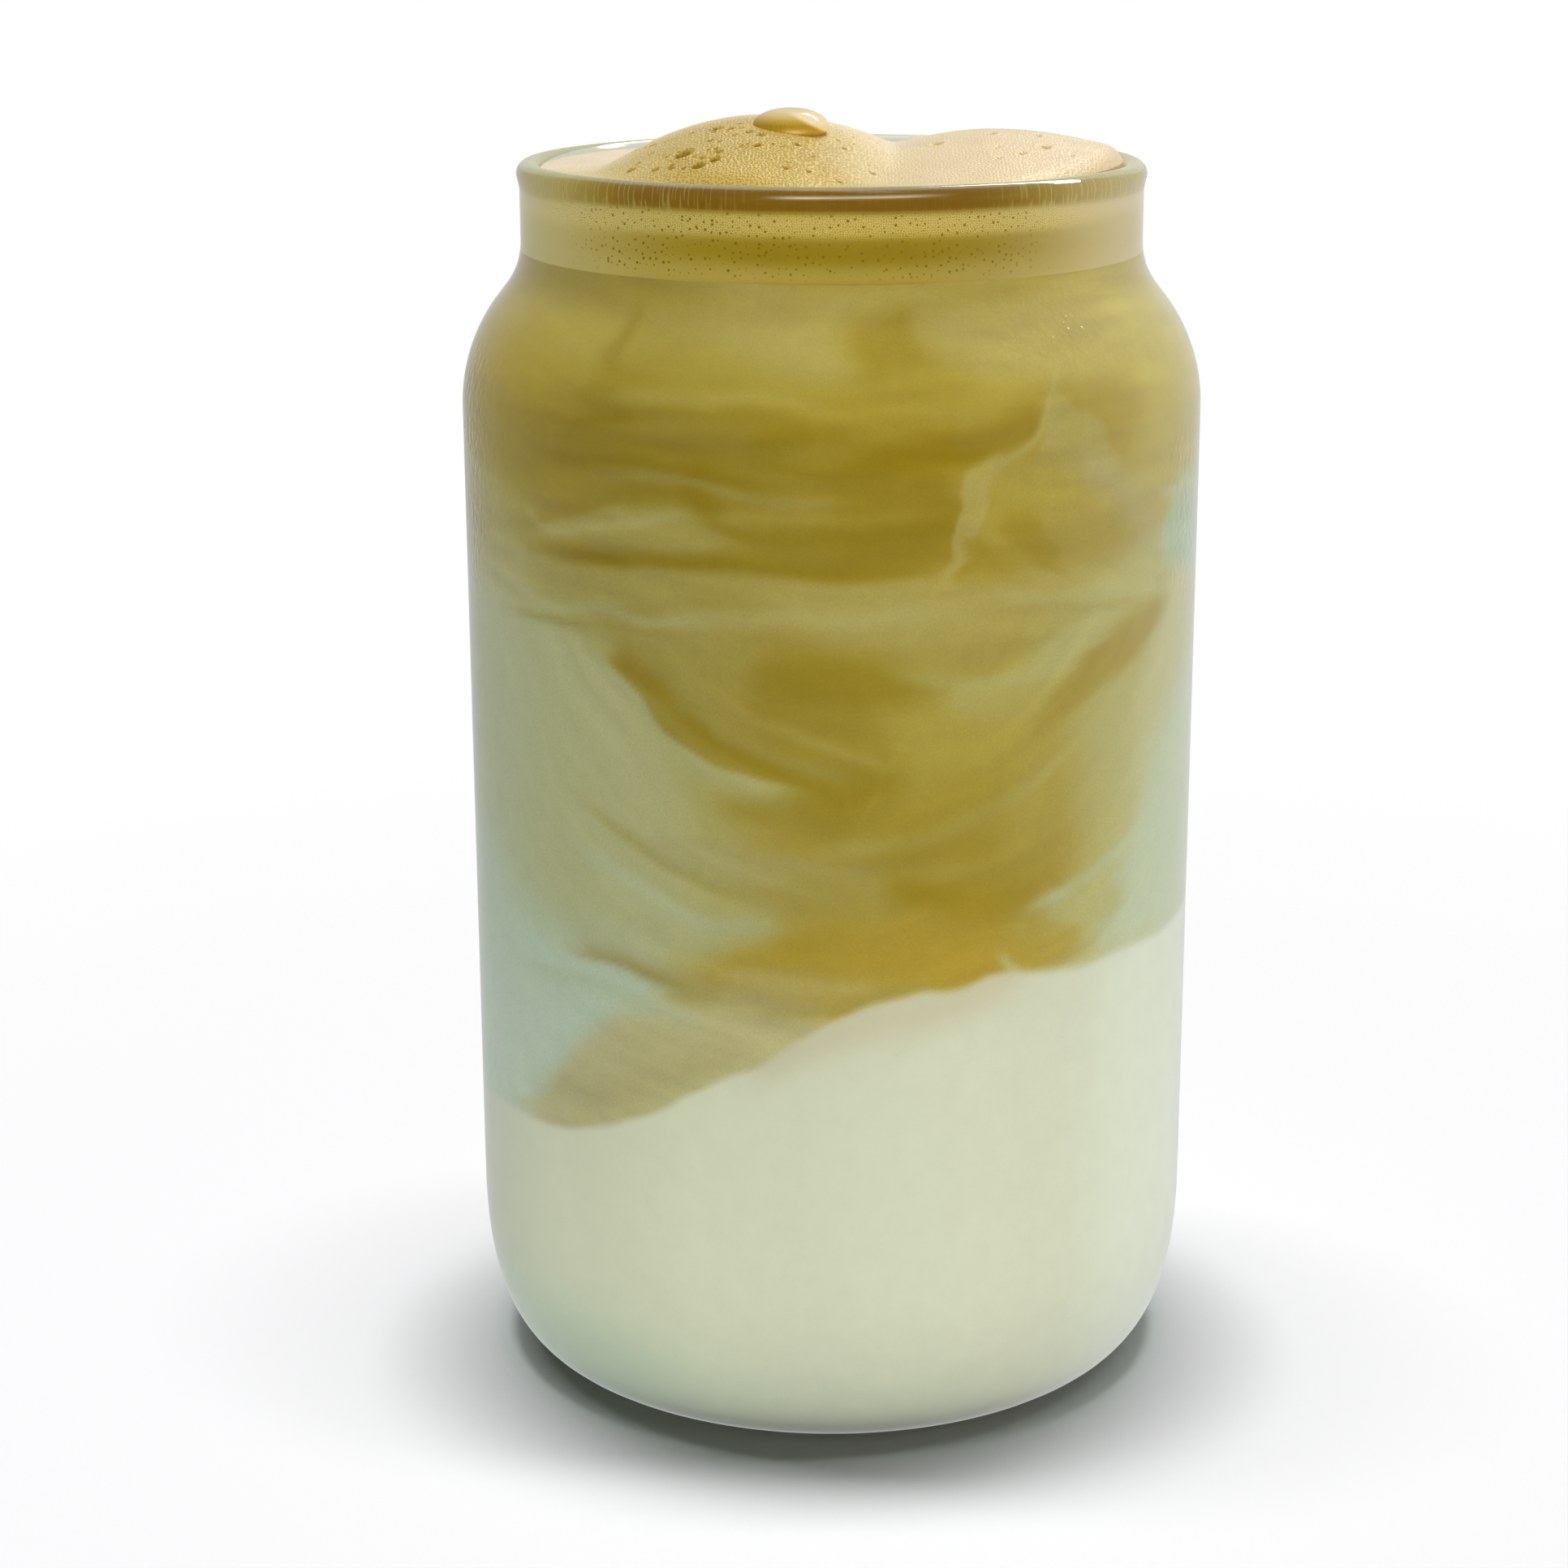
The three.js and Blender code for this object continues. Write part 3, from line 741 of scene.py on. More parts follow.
def cloud(turn, height, wide, tall, seed):
    """Smooth noise from -1 to 1 round the glass, in spots so many degrees wide and so tall."""
    columns = round(360 / wide)
    rows = int(150 / tall) + 3
    lattice = np.random.default_rng(seed).uniform(-1, 1, (rows, columns))
    u = turn % 360 / 360 * columns
    v = np.clip(height, 0, 145) / tall
    row, column = np.floor(v).astype(int), np.floor(u).astype(int)
    up, along = smooth(v - row, 0, 1), smooth(u - column, 0, 1)
    left, right = column % columns, (column + 1) % columns
    low = lattice[row, left] * (1 - along) + lattice[row, right] * along
    high = lattice[row + 1, left] * (1 - along) + lattice[row + 1, right] * along
    return low * (1 - up) + high * up


def curve(places, values, turn):
    """A smooth line through given points, carried straight on past its ends."""
    places, values = np.array(places, dtype=float), np.array(values, dtype=float)
    slopes = np.gradient(values, places)
    inside = np.clip(turn, places[0], places[-1])
    k = np.clip(np.searchsorted(places, inside) - 1, 0, len(places) - 2)
    step = places[k + 1] - places[k]
    share = (inside - places[k]) / step
    rest = 1 - share
    line = values[k] * (1 + 2 * share) * rest**2 + values[k + 1] * share**2 * (3 - 2 * share)
    line += step * (slopes[k] * share * rest**2 - slopes[k + 1] * share**2 * rest)
    before, past = np.minimum(turn - places[0], 0), np.maximum(turn - places[-1], 0)
    return line + slopes[0] * before + slopes[-1] * past


def up_to(value, limit, width):
    """1 up to a limit, then a soft fall over a width."""
    return np.exp(-((np.maximum(value - limit, 0) / width) ** 2))


def lay_strokes(drink, base, strokes, turn, height):
    """A base colour with strokes laid over it, at degrees and millimetres."""
    shade = np.empty((len(turn), 3))
    shade[:] = base
    for pigment, strength, (below, above), (left, right), places in strokes:
        turns = [place[0] for place in places]
        lows, highs = [place[1] for place in places], [place[-1] for place in places]
        middle = (turns[0] + turns[-1]) / 2
        near = (turn - middle + 180) % 360 - 180 + middle
        low, high = curve(turns, lows, near), curve(turns, highs, near)
        cover = strength * up_to(low, height, below) * up_to(height, high, above)
        cover *= up_to(turns[0], near, left) * up_to(near, turns[-1], right)
        shade += cover[:, None] * (np.array(getattr(drink, pigment)) - shade)
    return shade


def threads(turn, bend):
    """Fine drawn-out lights and darks that follow a bent height."""
    fine = 0.032 * cloud(turn, bend, 15, 1.5, 21) + 0.028 * cloud(turn, bend, 9, 0.8, 22)
    return fine + 0.024 * cloud(turn, bend, 24, 5, 23)


def wisps(turn, height):
    """Threads of the mix, round 1: level above, in bowl-shaped arcs below, with painted shade that darkens
    the shoulder.
    """
    level = height + 1.6 * cloud(turn, height, 30, 10, 25) + 0.05 * turn
    side = (turn - 4 + 180) % 360 - 180
    bowl = 104 - np.hypot(0.62 * side, 104 - height) + 1.2 * cloud(turn, height, 20, 8, 27)
    low = smooth(height, 90, 78) * smooth(np.abs(side), 100, 60)
    amount = 0.8 + 0.5 * cloud(turn, height, 45, 14, 26)
    amount *= 1 - 0.75 * smooth(np.abs(side), 36, 56) * smooth(height, 88, 80)
    laid = threads(turn, level) * (1 - low) + threads(turn, np.clip(bowl, 0, 104)) * low
    # Painted shade: the tea is darkened from 107 mm up, where the shoulder takes more light
    shoulder = 0.05 * smooth(height, 107, 111)
    return 1 + amount * laid + 0.008 * cloud(turn, height, 1.6, 0.9, 24) - shoulder


def swirl(drink, turn, height):
    """Colour of the drink as it shows through the glass, and its share of tea, at degrees and mm."""
    wander = turn + 1.4 * cloud(turn, height, 14, 9, 3) + 0.6 * cloud(turn, height, 5, 3, 4)
    wander += 1.5 * cloud(turn, height, 40, 1.6, 13) * smooth(height, 60, 90)
    drift = height + 0.8 * cloud(turn, height, 18, 8, 5) + 0.25 * cloud(turn, height, 6, 2.5, 6)
    tea = lay_strokes(drink, drink.tea, TEA_STROKES, wander, drift)
    tea *= wisps(turn, height)[:, None]
    ripple = height + 0.3 * cloud(turn, height, 12, 3, 30)
    milk = lay_strokes(drink, drink.milk, MILK_STROKES, turn, ripple)
    places, heights = zip(*MILK_EDGE)
    edge = curve(places, heights, turn + 0.6 * cloud(turn, height, 6, 3, 8))
    share = smooth(height + 0.25 * cloud(turn, height, 7, 4, 9) - edge, -0.5, 0.7)[:, None]
    return milk * (1 - share) + tea * share, share[:, 0]


def behind_wall(screen):
    """Base colour that gives a look behind the glass wall, under the soft lights."""
    seen = to_linear(screen)
    return seen / (LIGHT + THROWN_BACK * seen)


def behind_wall_rgba(screen):
    return (*behind_wall(np.array(screen)).tolist(), 1.0)


def layer_height(drink, x, y, radius):
    """Height of the face between milk and tea, as the construction has it."""
    turn = turn_of(x, y)
    rise, fall = (-75, 38), (100, 285)
    around = np.where(turn < rise[0], turn + 360, turn)
    share = smooth(around, *rise) - smooth(around, *fall)
    edge = drink.layer_low + (drink.layer_high - drink.layer_low) * share
    out = np.clip(np.hypot(x, y) / radius, 0, 1)
    return drink.layer_middle + (edge - drink.layer_middle) * out


def drink_material(name):
    """Drink with a fine grain, strongest where the tea is mixed in."""
    shader = Shader(bpy.data.materials.new(name))
    place = shader.place()
    flat = shader.stretched(place, (1, 1, 4))
    specks, drawn, cloud = (
        shader.noise(where, scale, detail) - 0.5
        for where, scale, detail in ((place, 5200.0, 1.0), (flat, 900.0, 2.0), (place, 420.0, 3.0))
    )
    mixed_in = shader.shares("mixed_in")[0] * 0.75 + 0.25
    grain = (specks * 0.24 + drawn * 0.07) * mixed_in + cloud * 0.08 + 1.0
    base = shader.shaded(shader.attribute("swirl").outputs["Color"], grain)
    return shader.finish(shader.body(base, 0.5, 0.0))


def build_drink(context):
    glass = context.scene.latte_glass
    drink = context.scene.latte_drink
    line = inner_line(glass, glass.wall - drink.reach, TEA_HIGH[2] + GAP / 2)
    radius = line[:, 0].max()
    angle = columns_round(DRINK_TURNS, DRINK_FRONT)
    rim_x, rim_y = radius * np.sin(angle), -radius * np.cos(angle)
    edge = layer_height(drink, rim_x, rim_y, radius)
    floor = line[0, 1]
    heel_top = glass.floor + glass.inner_heel_height
    face_radii = radius * np.linspace(1, 0.08, 12)[1:, None]
    face_x, face_y = face_radii * np.sin(angle), -face_radii * np.cos(angle)
    face = np.stack([face_x, face_y, layer_height(drink, face_x, face_y, radius)], axis=-1)
    middle = (0, 0, drink.layer_middle)

    heel_heights = line[line[:, 1] <= heel_top][:, 1]
    rows = np.linspace(0, 1, MILK_ROWS)[1:, None]
    side_heights = heel_top + rows * (edge - heel_top)
    low = np.broadcast_to(heel_heights[:, None], (len(heel_heights), DRINK_TURNS))
    heights = np.vstack([low, side_heights])
    radii = radius_at(line, heights)
    radii[0] = line[0, 0]
    milk = np.concatenate([turned_points(radii, heights, DRINK_TURNS, DRINK_FRONT), face])

    share = np.linspace(0, 1, TEA_ROWS)[:, None]
    heights = edge + share * (TEA_HIGH[2] + GAP / 2 - edge)
    side = turned_points(radius_at(line, heights), heights, DRINK_TURNS, DRINK_FRONT)
    tea = np.concatenate([face[::-1], side])

    for name, rings, poles, slot, node in (
        ("milk_layer", milk, ((0, 0, floor), middle), "cold_milk", "milk"),
        ("tea_layer", tea, (middle, (0, 0, side[-1, 0, 2])), "roasted_tea_milk", "tea"),
    ):
        points = np.vstack([rings.reshape(-1, 3), poles])
        screen, share = swirl(drink, turn_of(points[:, 0], points[:, 1]), points[:, 2] / MM)
        piece = ring_mesh(
            name,
            rings,
            *poles,
            attributes={"swirl": behind_wall(screen), "mixed_in": share},
            finish=drink_material(name.replace("_", " ")),
        )
        dress(piece, node)


# Foam

# Mounds of the foam head, in millimetres: centre, left, right, front and back reach, height and how
# fast they thin out
MOUNDS = (
    (-6.6, -8, 16.3, 12.9, 22, 29.2, 5.35, 1),
    (16.3, -3, 21.4, 24.4, 26, 19.3, 3.7, 2.2),
)
MOUND_FOOT = 0.12
# Open bubbles of the foam, in millimetres: centre x and y, half width. Those of the left mound are
# deep and wet, those of the right one shallow and dry.
WET_CRATERS = (
    (-14.2, -19.9, 1.05), (-11.1, -23.1, 0.65), (-12.6, -23.8, 0.72), (-11.2, -13.9, 0.72),
    (-19.3, -18.3, 0.58), (-16.8, -21.4, 0.48), (-7.1, -20.7, 0.52), (-7.9, -16.6, 0.48),
    (-6.8, -17.7, 0.56), (-4.3, -25.4, 0.38), (-3.4, -19.6, 0.43), (-10.7, -21.4, 0.42),
    (-9.8, -14.7, 0.47), (-15.2, -22.5, 0.40), (-14.0, -23.4, 0.30), (-17.5, -11.6, 0.36),
    (-11.6, -17.8, 0.30), (0.7, -25.1, 0.36), (-2.2, -25.1, 0.32), (1.2, -16.1, 0.32),
    (-18.8, -17.1, 0.35), (-15.3, -21.9, 0.28), (-13.6, -12.9, 0.30), (-4.7, -20.6, 0.30),
    (-5.6, -20.2, 0.24), (4.0, -19.2, 0.34),
)
DRY_CRATERS = (
    (10.4, -9.1, 0.72), (15.9, -6.6, 0.61), (16.2, -12.5, 0.36), (18.5, -14.3, 0.52),
    (20.8, -11.5, 0.76), (20.4, -6.3, 0.53), (23.3, -13.4, 0.43), (16.2, -16.0, 0.31),
)


def foam_height(foam, radius, x, y):
    """Height of the foam's upper face, all in metres."""
    raised = np.full_like(x, foam.level)
    for middle_x, middle_y, left, right, front, back, height, power in MOUNDS:
        across, along = x / MM - middle_x, y / MM - middle_y
        across /= np.where(across < 0, left, right)
        along /= np.where(along < 0, front, back)
        inside = 1 - across**2 - along**2
        raised += height * MM * ((inside + np.hypot(inside, MOUND_FOOT)) / 2) ** power
    inset = np.clip((radius - np.hypot(x, y)) / foam.roll, 0, 1)
    return foam.edge + (raised - foam.edge) * np.sqrt(inset * (2 - inset))


def froth_share(x, y):
    """How wet and coarse the foam is, in millimetres: 1 on the front of the left mound."""
    mound = np.exp(-(((x + 8) / np.where(x < -8, 17, 12)) ** 2) - (((y + 17) / 13) ** 2))
    return np.clip(1.25 * mound, 0, 1)


def crater_list(radius):
    """Open bubbles: centre, half width, depth as a share of it, and how amber they are inside."""
    rng = np.random.default_rng(11)
    craters = [(x, y, size, 0.95, 1.0) for x, y, size in WET_CRATERS]
    craters += [(x, y, size, 0.6, 0.35) for x, y, size in DRY_CRATERS]
    for _ in range(620):
        turn, out = rng.uniform(0, 2 * math.pi), math.sqrt(rng.uniform(0, 1)) * (radius / MM - 1.2)
        x, y = out * math.sin(turn), -out * math.cos(turn)
        wet = float(froth_share(x, y))
        size = 0.14 + (0.06 + 0.20 * wet) * rng.uniform(0, 1) ** 3
        craters.append((x, y, size, 0.3 + 0.3 * wet, 0.1 + 0.55 * wet))
    return craters


def pit_field(x, y, radius):
    """How deep each place lies in an open bubble, in metres, and how amber it is."""
    depth = np.zeros_like(x)
    amber = np.zeros_like(x)
    for cx, cy, size, steep, strength in crater_list(radius):
        cx, cy, size = cx * MM, cy * MM, size * MM
        near = (np.abs(x - cx) < 2 * size) & (np.abs(y - cy) < 2 * size)
        out = np.hypot(x[near] - cx, y[near] - cy) / size
        bowl = np.maximum(0, 1 - out**2)
        depth[near] += size * steep * (bowl - 0.14 * bell(out, 1.18, 0.25))
        amber[near] = np.maximum(amber[near], strength * smooth(bowl, 0.02, 0.5))
    return depth, amber


def cell_pattern(shader, place, scale, spread):
    """Flat cells: distance from a cell's middle, distance from its wall and a number for the cell."""
    inputs = {"Vector": place, "Scale": scale, "Randomness": spread}
    middle = shader.node(
        "ShaderNodeTexVoronoi", {"voronoi_dimensions": "2D", "feature": "F1"}, inputs
    )
    wall = shader.node(
        "ShaderNodeTexVoronoi", {"voronoi_dimensions": "2D", "feature": "DISTANCE_TO_EDGE"}, inputs
    )
    pick = shader.node("ShaderNodeSeparateColor", None, {0: middle.outputs["Color"]})
    return (
        shader.number(middle.outputs["Distance"]),
        shader.number(wall.outputs["Distance"]),
        shader.number(pick.outputs[0]),
    )


def foam_material(foam):
    """Foam of fine bubbles, with a comb, dark pores and drawn-out streaks where it lies on the glass."""
    shader = Shader(bpy.data.materials.new("milk foam"))
    place = shader.attribute("unrolled").outputs["Vector"]
    froth, comb, pores, streaks = shader.shares("froth", "comb", "pores", "streaks")
    base = shader.attribute("foam").outputs["Color"]

    distance, wall, _ = cell_pattern(shader, place, 3000.0, 0.8)
    rims = 1 - (wall * 6.0).clamped()
    hollow = 1 - (distance * 2.2).clamped()
    shade = 1.0 + froth * (rims * 0.26 - hollow * 0.24)
    frothy = shader.shaded(base, shade)

    _, comb_wall, _ = cell_pattern(shader, place, 4300.0, 0.85)
    network = (1 - (comb_wall * 4.6).clamped()) * comb * 0.7
    combed = shader.mixed(frothy, behind_wall_rgba(foam.network), network.clamped())
    hole = (comb_wall * 4.0 - 0.7).clamped() * comb * 0.7
    combed = shader.mixed(combed, behind_wall_rgba(foam.pit), hole.clamped())

    pore, _, pick = cell_pattern(shader, place, 1350.0, 1.0)
    size = pick * 0.18 + 0.05
    dot = ((size - pore) * 16.0).clamped() * pores * 0.95
    dotted = shader.mixed(combed, behind_wall_rgba(foam.pore), dot.clamped())

    drawn = shader.stretched(place, (1, 0.14, 1))
    veins = shader.noise(drawn, 3300.0, 2.0, {"noise_dimensions": "2D"}, Distortion=0.3)
    vein = ((veins - 0.54) * 9.0).clamped() * streaks * 0.5
    streaked = shader.mixed(dotted, behind_wall_rgba(foam.network), vein.clamped())

    bumps = shader.bump((hollow * 0.9 - rims * 0.2) * froth, 0.00013, 0.9)
    behind = shader.body(streaked, 0.6, 0.0, Normal=bumps)
    moist = shader.body(streaked, 0.36, 0.36, Normal=bumps)
    return shader.finish(shader.over(shader.attribute("open").outputs["Fac"], behind, moist))


# Strokes of colour on the foam that lies on the glass, laid as those of the drink are
NECK_STROKES = (
    ("olive", 1, (2, 1.2), (34, 34), [(-8, 110, 123.4), (8, 110, 123.4)]),
    ("hem", 0.85, (0.6, 1.5), (34, 34), [(-8, 118.4, 118.8), (8, 118.4, 118.8)]),
    ("moss", 0.85, (1.2, 1.0), (34, 34), [(-8, 120.8, 121.7), (8, 120.8, 121.7)]),
    ("honey", 0.95, (1.3, 0.4), (34, 34), [(-8, 123.8, 124.2), (8, 123.8, 124.2)]),
    ("cream", 0.14, (0.9, 0.4), (40, 40), [(-110, 123.2, 124), (-50, 123.2, 124)]),
    # Painted highlight: a cream band at 124 mm on the right, for the highlight along the glass there
    ("cream", 0.4, (1, 0.4), (24, 40), [(56, 123.7, 124.1), (110, 123.7, 124.1)]),
    ("olive", 0.34, (0.3, 0.6), (60, 60), [(-180, 124.7, 126.4), (120, 124.7, 126.4)]),
    # Painted shade: dark amber under the rim at the front, for the shade seen through the rolled rim
    ("amber", 1, (0.45, 0.9), (18, 25), [(-34, 125, 126.3), (22, 125, 126.3)]),
)


def neck_colour(foam, turn, height):
    """Look of the foam through the glass, at degrees and millimetres."""
    right_share = np.clip(0.5 + 1.2 * np.sin(np.radians(turn)), 0, 1)[:, None]
    sides = np.array(foam.rind) * (1 - right_share) + np.array(foam.shell) * right_share
    level = height + 0.12 * cloud(turn, height, 12, 3, 41)
    return lay_strokes(foam, sides, NECK_STROKES, turn, level)


def neck_base(foam, turn, height):
    """Base colour of the foam that lies on the glass."""
    light = np.interp(turn, *zip(*NECK_LIGHT))[:, None] * np.array(NECK_TINT)
    seen = np.maximum(to_linear(neck_colour(foam, turn, height)) - NECK_GLOSS, 0.002)
    return seen / (light + THROWN_BACK * seen)


def top_colour(foam, x, y, amber):
    """Look of the foam's open face, in millimetres."""
    cream, gold, blush, pit = (np.array(c) for c in (foam.cream, foam.gold, foam.blush, foam.pit))
    wet = froth_share(x, y) * smooth(y, 2, -12)
    dry = smooth(x, 4, 16)
    shade = cream + (blush - cream) * dry[:, None]
    low_front = 0.55 * bell(x, -3, 14) * smooth(y, -19, -26)
    shade += (gold - shade) * np.clip(0.9 * wet + low_front, 0, 1)[:, None]
    shade *= (1 + 0.02 * cloud(x * 6, y + 60, 12, 2.5, 42))[:, None]
    return shade + (pit - shade) * amber[:, None]


def build_foam(context):
    glass = context.scene.latte_glass
    drink = context.scene.latte_drink
    foam = context.scene.latte_foam
    bottom = FOAM_LOW[2] - GAP / 2
    line = inner_line(glass, glass.wall - drink.reach, glass.height)
    radius = line[-1, 0]
    side_heights = np.linspace(bottom, foam.edge, FOAM_ROWS)
    spread = (FOAM_TURNS, FOAM_FRONT, FOAM_TOWARDS)
    side = turned_points(radius_at(line, side_heights), side_heights, *spread)
    ring = np.arange(1, FOAM_RINGS + 1)
    inward = np.interp(ring, (0, 12, 110, 150, FOAM_RINGS + 1), (0, 2, 17.6, 27, 31))
    out = np.minimum(radius - inward * MM, radius * (1 - ring / 5000))
    rings = turned_points(out, np.zeros_like(out), *spread)
    x, y = rings[..., 0].ravel(), rings[..., 1].ravel()
    depth, amber = pit_field(x, y, radius)
    fade = smooth(radius - np.hypot(x, y), 0.1 * MM, 1 * MM)
    rings[..., 2] = (foam_height(foam, radius, x, y) - depth * fade).reshape(rings.shape[:2])
    whole = np.concatenate([side, rings])
    peak = foam_height(foam, radius, np.zeros(1), np.zeros(1))[0]
    poles = ((0, 0, bottom), (0, 0, peak))
    points = np.vstack([whole.reshape(-1, 3), poles])
    top = np.zeros(len(points), dtype=bool)
    on_side = len(side) * FOAM_TURNS
    top[on_side:] = True
    top[-2] = False
    amber = np.concatenate([np.zeros(on_side), amber, [0, 0]])
    px, py, pz = points.T / MM
    turn = turn_of(px, py)
    open_face = top_colour(foam, px, py, amber)
    shade = np.where(top[:, None], to_linear(open_face), neck_base(foam, turn, pz))
    along = np.where(top, px, np.radians(turn) * radius / MM)
    up = np.where(top, py, pz)
    front = smooth(np.abs(turn + 6), 56, 34)
    combed = smooth(np.abs(turn + 6), 76, 46)
    drawn = 0.06 + 0.55 * smooth(turn, -12, -34) + 0.6 * smooth(turn, 26, 44)
    attributes = {
        "foam": shade,
        "unrolled": np.stack([along, up, np.zeros_like(up)], axis=-1) * MM,
        "open": np.where(top, 1.0, 0.0),
        "froth": np.where(top, 0.35 + 0.65 * froth_share(px, py), 0) * (1 - 0.85 * amber),
        "comb": np.where(top, 0, smooth(pz, 121.9, 122.8) * smooth(pz, 124.9, 124) * combed),
        "pores": np.where(top, 0, front * smooth(pz, 117.9, 118.9) * smooth(pz, 125.2, 124)),
        "streaks": np.where(top, 0, smooth(pz, 124.2, 124.9) * drawn),
    }
    piece = ring_mesh("foam_head", whole, *poles, attributes=attributes, finish=foam_material(foam))
    dress(piece, "foam")


# Large bubble


def film_look(foam, across, up):
    """Look of the bubble with its painted reflection and patch of light, from its middle to its edge 1
    across and from -1 below to 1 on top.
    """
    dark, light, rim = (np.array(c) for c in (foam.film_dark, foam.film_painted_reflection, foam.film_rim))
    share = np.interp(up, (-0.6, -0.25, 0.1, 0.35, 0.6, 0.85), (0.05, 0, 0.3, 0.6, 0.85, 1.0))
    shade = dark + (rim - dark) * share[:, None]
    # Painted reflection of a bright light on the upper right of the bubble
    mirrored = smooth(across + 0.62 * (up - 0.1), 0.22, 0.48) * smooth(up, 0.95, 0.6)
    shade += (light - shade) * mirrored[:, None]
    # Painted patch of light low in the middle of the bubble
    painted_light_spot = bell(np.hypot((across - 0.1) / 0.33, (up + 0.72) / 0.2), 0, 0.95) * 0.65
    shade += (light - shade) * painted_light_spot[:, None]
    low_left = smooth(up + 0.35 * across, -0.75, -1.05) * 0.7
    return shade + (rim - shade) * low_left[:, None]


def film_material():
    """Wet film over the foam's own fine bubbles."""
    shader = Shader(bpy.data.materials.new("bubble film"))
    _, wall, _ = cell_pattern(shader, shader.place(), 3000.0, 0.8)
    shade = 1.03 - (wall * 1.6).clamped() * 0.12
    base = shader.shaded(shader.attribute("film").outputs["Color"], shade)
    return shader.finish(shader.body(base, 0.6, 0.0, Coat_Weight=0.3, Coat_Roughness=0.04))


def build_bubble(context):
    foam = context.scene.latte_foam
    low, high = np.array(BUBBLE_LOW), np.array(BUBBLE_HIGH)
    centre, half = (low + high) / 2, (high - low) / 2
    angle = np.linspace(0, math.pi, BUBBLE_STEPS + 1)[1:-1]
    rings = turned_points(half[0] * np.sin(angle), -half[2] * np.cos(angle), BUBBLE_TURNS)
    points = np.vstack([rings.reshape(-1, 3), (0, 0, -half[2]), (0, 0, half[2])]) / half
    across, up = points[:, 0], (points[:, 2] - BUBBLE_FREE) / (1 - BUBBLE_FREE)
    light = np.interp(up, *zip(*FILM_LIGHT)) * (0.97 + 0.03 * across)
    piece = ring_mesh(
        "large_bubble",
        rings + centre,
        low_pole=centre - (0, 0, half[2]),
        high_pole=centre + (0, 0, half[2]),
        attributes={"film": to_linear(film_look(foam, across, up)) / light[:, None]},
        finish=film_material(),
    )
    dress(piece, "bubble")


# Stage


# The floor starts to fade at the first radius, and is gone at the second
FLOOR_CLEAR, FLOOR_REACH = 0.09, 0.24
# Strength of the surroundings for light that has been scattered once
SCATTERED_SHARE = 0.1
WHITE, COOL = (1, 1, 1), (0.94, 1, 1)
# Lamps: name, place, height aimed at, size, watts, tint, for the floor alone, and where unseen
LAMPS = (
    ("floor_middle", (0, 0.1, 1.5), 0, (0.32, 0.16), 52, WHITE, True, ("glossy",)),
    ("floor_wide", (0.01, 0.06, 1.5), 0, (1.0, 0.1), 33, WHITE, True, ("glossy",)),
    ("overhead", (0.1, 0.05, 1.5), 0.08, (1.2, 0.3), 17, WHITE, False, ("glossy",)),
    ("right_key", (0.85, -0.6, 0.2), 0.08, (0.7, 0.4), 4.5, WHITE, False, ("glossy",)),
    ("left_fill", (-0.7, -0.8, 0.2), 0.08, (0.7, 0.4), 3.6, COOL, False, ("glossy",)),
    ("back_fill", (0.1, 1.2, 0.25), 0.08, (0.9, 0.5), 5, WHITE, False, ("glossy",)),
    ("rim_gloss", (0.6, 0.9, 1.1), 0.08, (1.0, 0.22), 9, WHITE, False, ("diffuse", "transmission")),
)


def white_floor(stage, clear, reach):
    """Pale floor that fades out into the white surroundings."""
    shader = Shader(bpy.data.materials.new("pale floor"))
    place = shader.place()
    bumps = shader.bump(shader.noise(place, 30.0, 3.0), 0.0002, 0.05)
    body = shader.body(linear(stage.floor), 0.8, Normal=bumps)
    out = shader.node("ShaderNodeVectorMath", {"operation": "LENGTH"}, {0: place}).outputs["Value"]
    gone = ((shader.number(out) - clear) / (reach - clear)).clamped()
    nothing = shader.node("ShaderNodeBsdfTransparent").outputs[0]
    return shader.finish(shader.over(gone, body, nothing))


def soft_light(floor, name, place, height, size, power, tint, on_floor, unseen):
    """An area light, turned to a height over the middle, for the floor alone or for the rest."""
    lamp = bpy.data.lights.new(name, "AREA")
    lamp.shape = "RECTANGLE"
    lamp.size, lamp.size_y = size
    lamp.energy = power
    lamp.color = tint
    holder = bpy.data.objects.new(name, lamp)
    holder.location = place
    aim = Vector((0, 0, height)) - Vector(place)
    holder.rotation_euler = aim.to_track_quat("-Z", "Y").to_euler()
    bpy.context.scene.collection.objects.link(holder)
    lit = bpy.data.collections.new(name + "_lit")
    lit.objects.link(floor)
    lit.collection_objects[0].light_linking.link_state = "INCLUDE" if on_floor else "EXCLUDE"
    holder.light_linking.receiver_collection = lit
    for kind in unseen:
        setattr(holder, "visible_" + kind, False)


def build_world(fill):
    """Soft white surroundings, dimmer behind the viewer in reflections and for scattered light."""
    world = bpy.data.worlds.new("studio")
    world.cycles.sampling_method = "NONE"
    shader = Shader(world)
    path = shader.node("ShaderNodeLightPath").outputs
    place = shader.node("ShaderNodeTexCoord").outputs["Generated"]
    way = shader.node("ShaderNodeSeparateXYZ", None, {0: place}).outputs
    limits = {"From Min": -0.75, "From Max": 0.45, "To Min": 0.15, "To Max": 0.7}
    settings = {"interpolation_type": "SMOOTHSTEP"}
    behind = shader.node("ShaderNodeMapRange", settings, {"Value": way["Y"], **limits})
    sides = shader.number(way["X"]) * 0.3 + 1.0
    mirrored = shader.number(behind.outputs["Result"]) * sides
    seen = shader.number(path["Is Glossy Ray"]) * (mirrored - 1.0) + 1.0
    scattered = shader.number(path["Diffuse Depth"]).above(0.5)
    inputs = {"Color": (1, 1, 1, 1), "Strength": scattered * (fill - seen) + seen}
    light = shader.node("ShaderNodeBackground", None, inputs).outputs[0]
    shader.node("ShaderNodeOutputWorld", None, {"Surface": light})
    bpy.context.scene.world = world


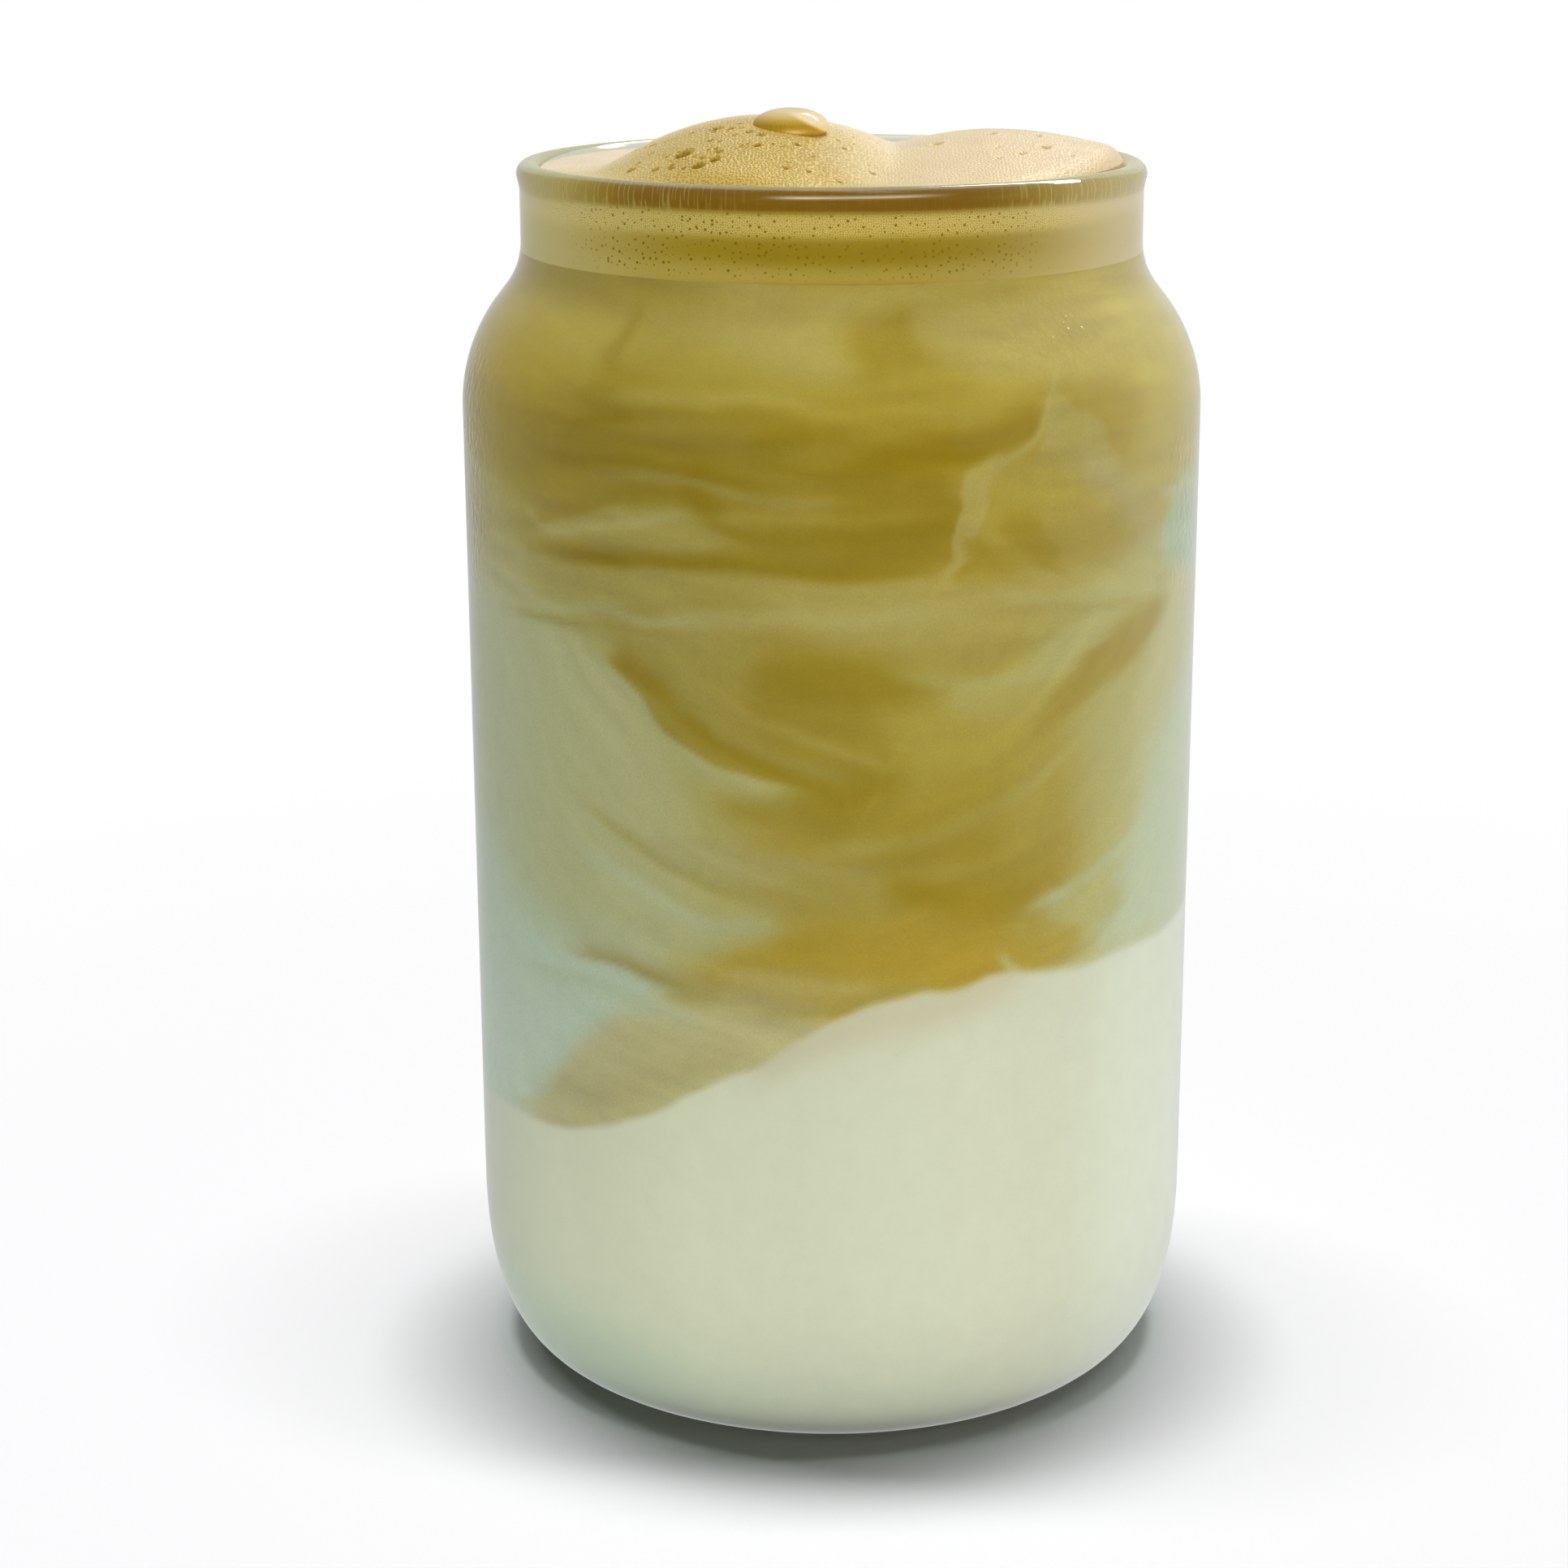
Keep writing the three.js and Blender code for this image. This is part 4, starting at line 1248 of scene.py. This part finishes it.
def build_stage(context):
    stage = context.scene.latte_stage
    scene = context.scene
    angle = np.linspace(0, 2 * math.pi, 96, endpoint=False)
    corners = [(FLOOR_REACH * math.cos(a), FLOOR_REACH * math.sin(a), 0.0) for a in angle]
    mesh = bpy.data.meshes.new("floor")
    mesh.from_pydata(corners, [], [tuple(range(len(corners)))])
    floor = show("floor", mesh, white_floor(stage, FLOOR_CLEAR, FLOOR_REACH))
    floor.visible_glossy = False
    build_world(SCATTERED_SHARE)
    for lamp in LAMPS:
        soft_light(floor, *lamp)
    lens = bpy.data.cameras.new("view")
    lens.lens = stage.lens
    lens.sensor_width = 36.0
    lens.shift_x = stage.shift
    lens.clip_start = 0.01
    camera = bpy.data.objects.new("view", lens)
    camera.location = (0, -stage.distance, stage.rise)
    camera.rotation_euler = (math.pi / 2 - stage.pitch, 0, 0)
    scene.collection.objects.link(camera)
    scene.camera = camera
    scene.view_settings.view_transform = "Standard"


# Operators, panel and registration


class LATTE_OT_glass(bpy.types.Operator):
    """Build the clear can-shaped glass"""

    bl_idname = "latte.glass"
    bl_label = "Glass"

    def execute(self, context):
        build_glass(context)
        return {"FINISHED"}


class LATTE_OT_drink(bpy.types.Operator):
    """Build the milk and the roasted-tea milk"""

    bl_idname = "latte.drink"
    bl_label = "Milk and tea"

    def execute(self, context):
        build_drink(context)
        return {"FINISHED"}


class LATTE_OT_foam(bpy.types.Operator):
    """Build the foam head"""

    bl_idname = "latte.foam"
    bl_label = "Foam head"

    def execute(self, context):
        build_foam(context)
        return {"FINISHED"}


class LATTE_OT_bubble(bpy.types.Operator):
    """Build the large bubble on the left mound"""

    bl_idname = "latte.bubble"
    bl_label = "Large bubble"

    def execute(self, context):
        build_bubble(context)
        return {"FINISHED"}


class LATTE_OT_stage(bpy.types.Operator):
    """Build the floor, the soft lights and the camera"""

    bl_idname = "latte.stage"
    bl_label = "Stage"

    def execute(self, context):
        build_stage(context)
        return {"FINISHED"}


OPERATORS = (LATTE_OT_stage, LATTE_OT_glass, LATTE_OT_drink, LATTE_OT_foam, LATTE_OT_bubble)
SETTINGS = {
    "latte_glass": GlassSettings,
    "latte_drink": DrinkSettings,
    "latte_foam": FoamSettings,
    "latte_stage": StageSettings,
}


class LATTE_PT_panel(bpy.types.Panel):
    """Lists the pieces of the latte and their settings"""

    bl_idname = "LATTE_PT_panel"
    bl_label = "Hojicha latte"
    bl_space_type = "VIEW_3D"
    bl_region_type = "UI"
    bl_category = "Latte"

    def draw(self, context):
        for kind in OPERATORS:
            self.layout.operator(kind.bl_idname)
        for key, group in SETTINGS.items():
            box = self.layout.box()
            for name in group.__annotations__:
                box.prop(getattr(context.scene, key), name)


def register():
    for kind in (*SETTINGS.values(), *OPERATORS, LATTE_PT_panel):
        bpy.utils.register_class(kind)
    for key, group in SETTINGS.items():
        setattr(bpy.types.Scene, key, bpy.props.PointerProperty(type=group))


def unregister():
    for key in SETTINGS:
        delattr(bpy.types.Scene, key)
    for kind in (LATTE_PT_panel, *reversed(OPERATORS), *SETTINGS.values()):
        bpy.utils.unregister_class(kind)


def main():
    register()
    for kind in OPERATORS:
        group, name = kind.bl_idname.split(".")
        getattr(getattr(bpy.ops, group), name)()


if __name__ == "__main__":
    main()
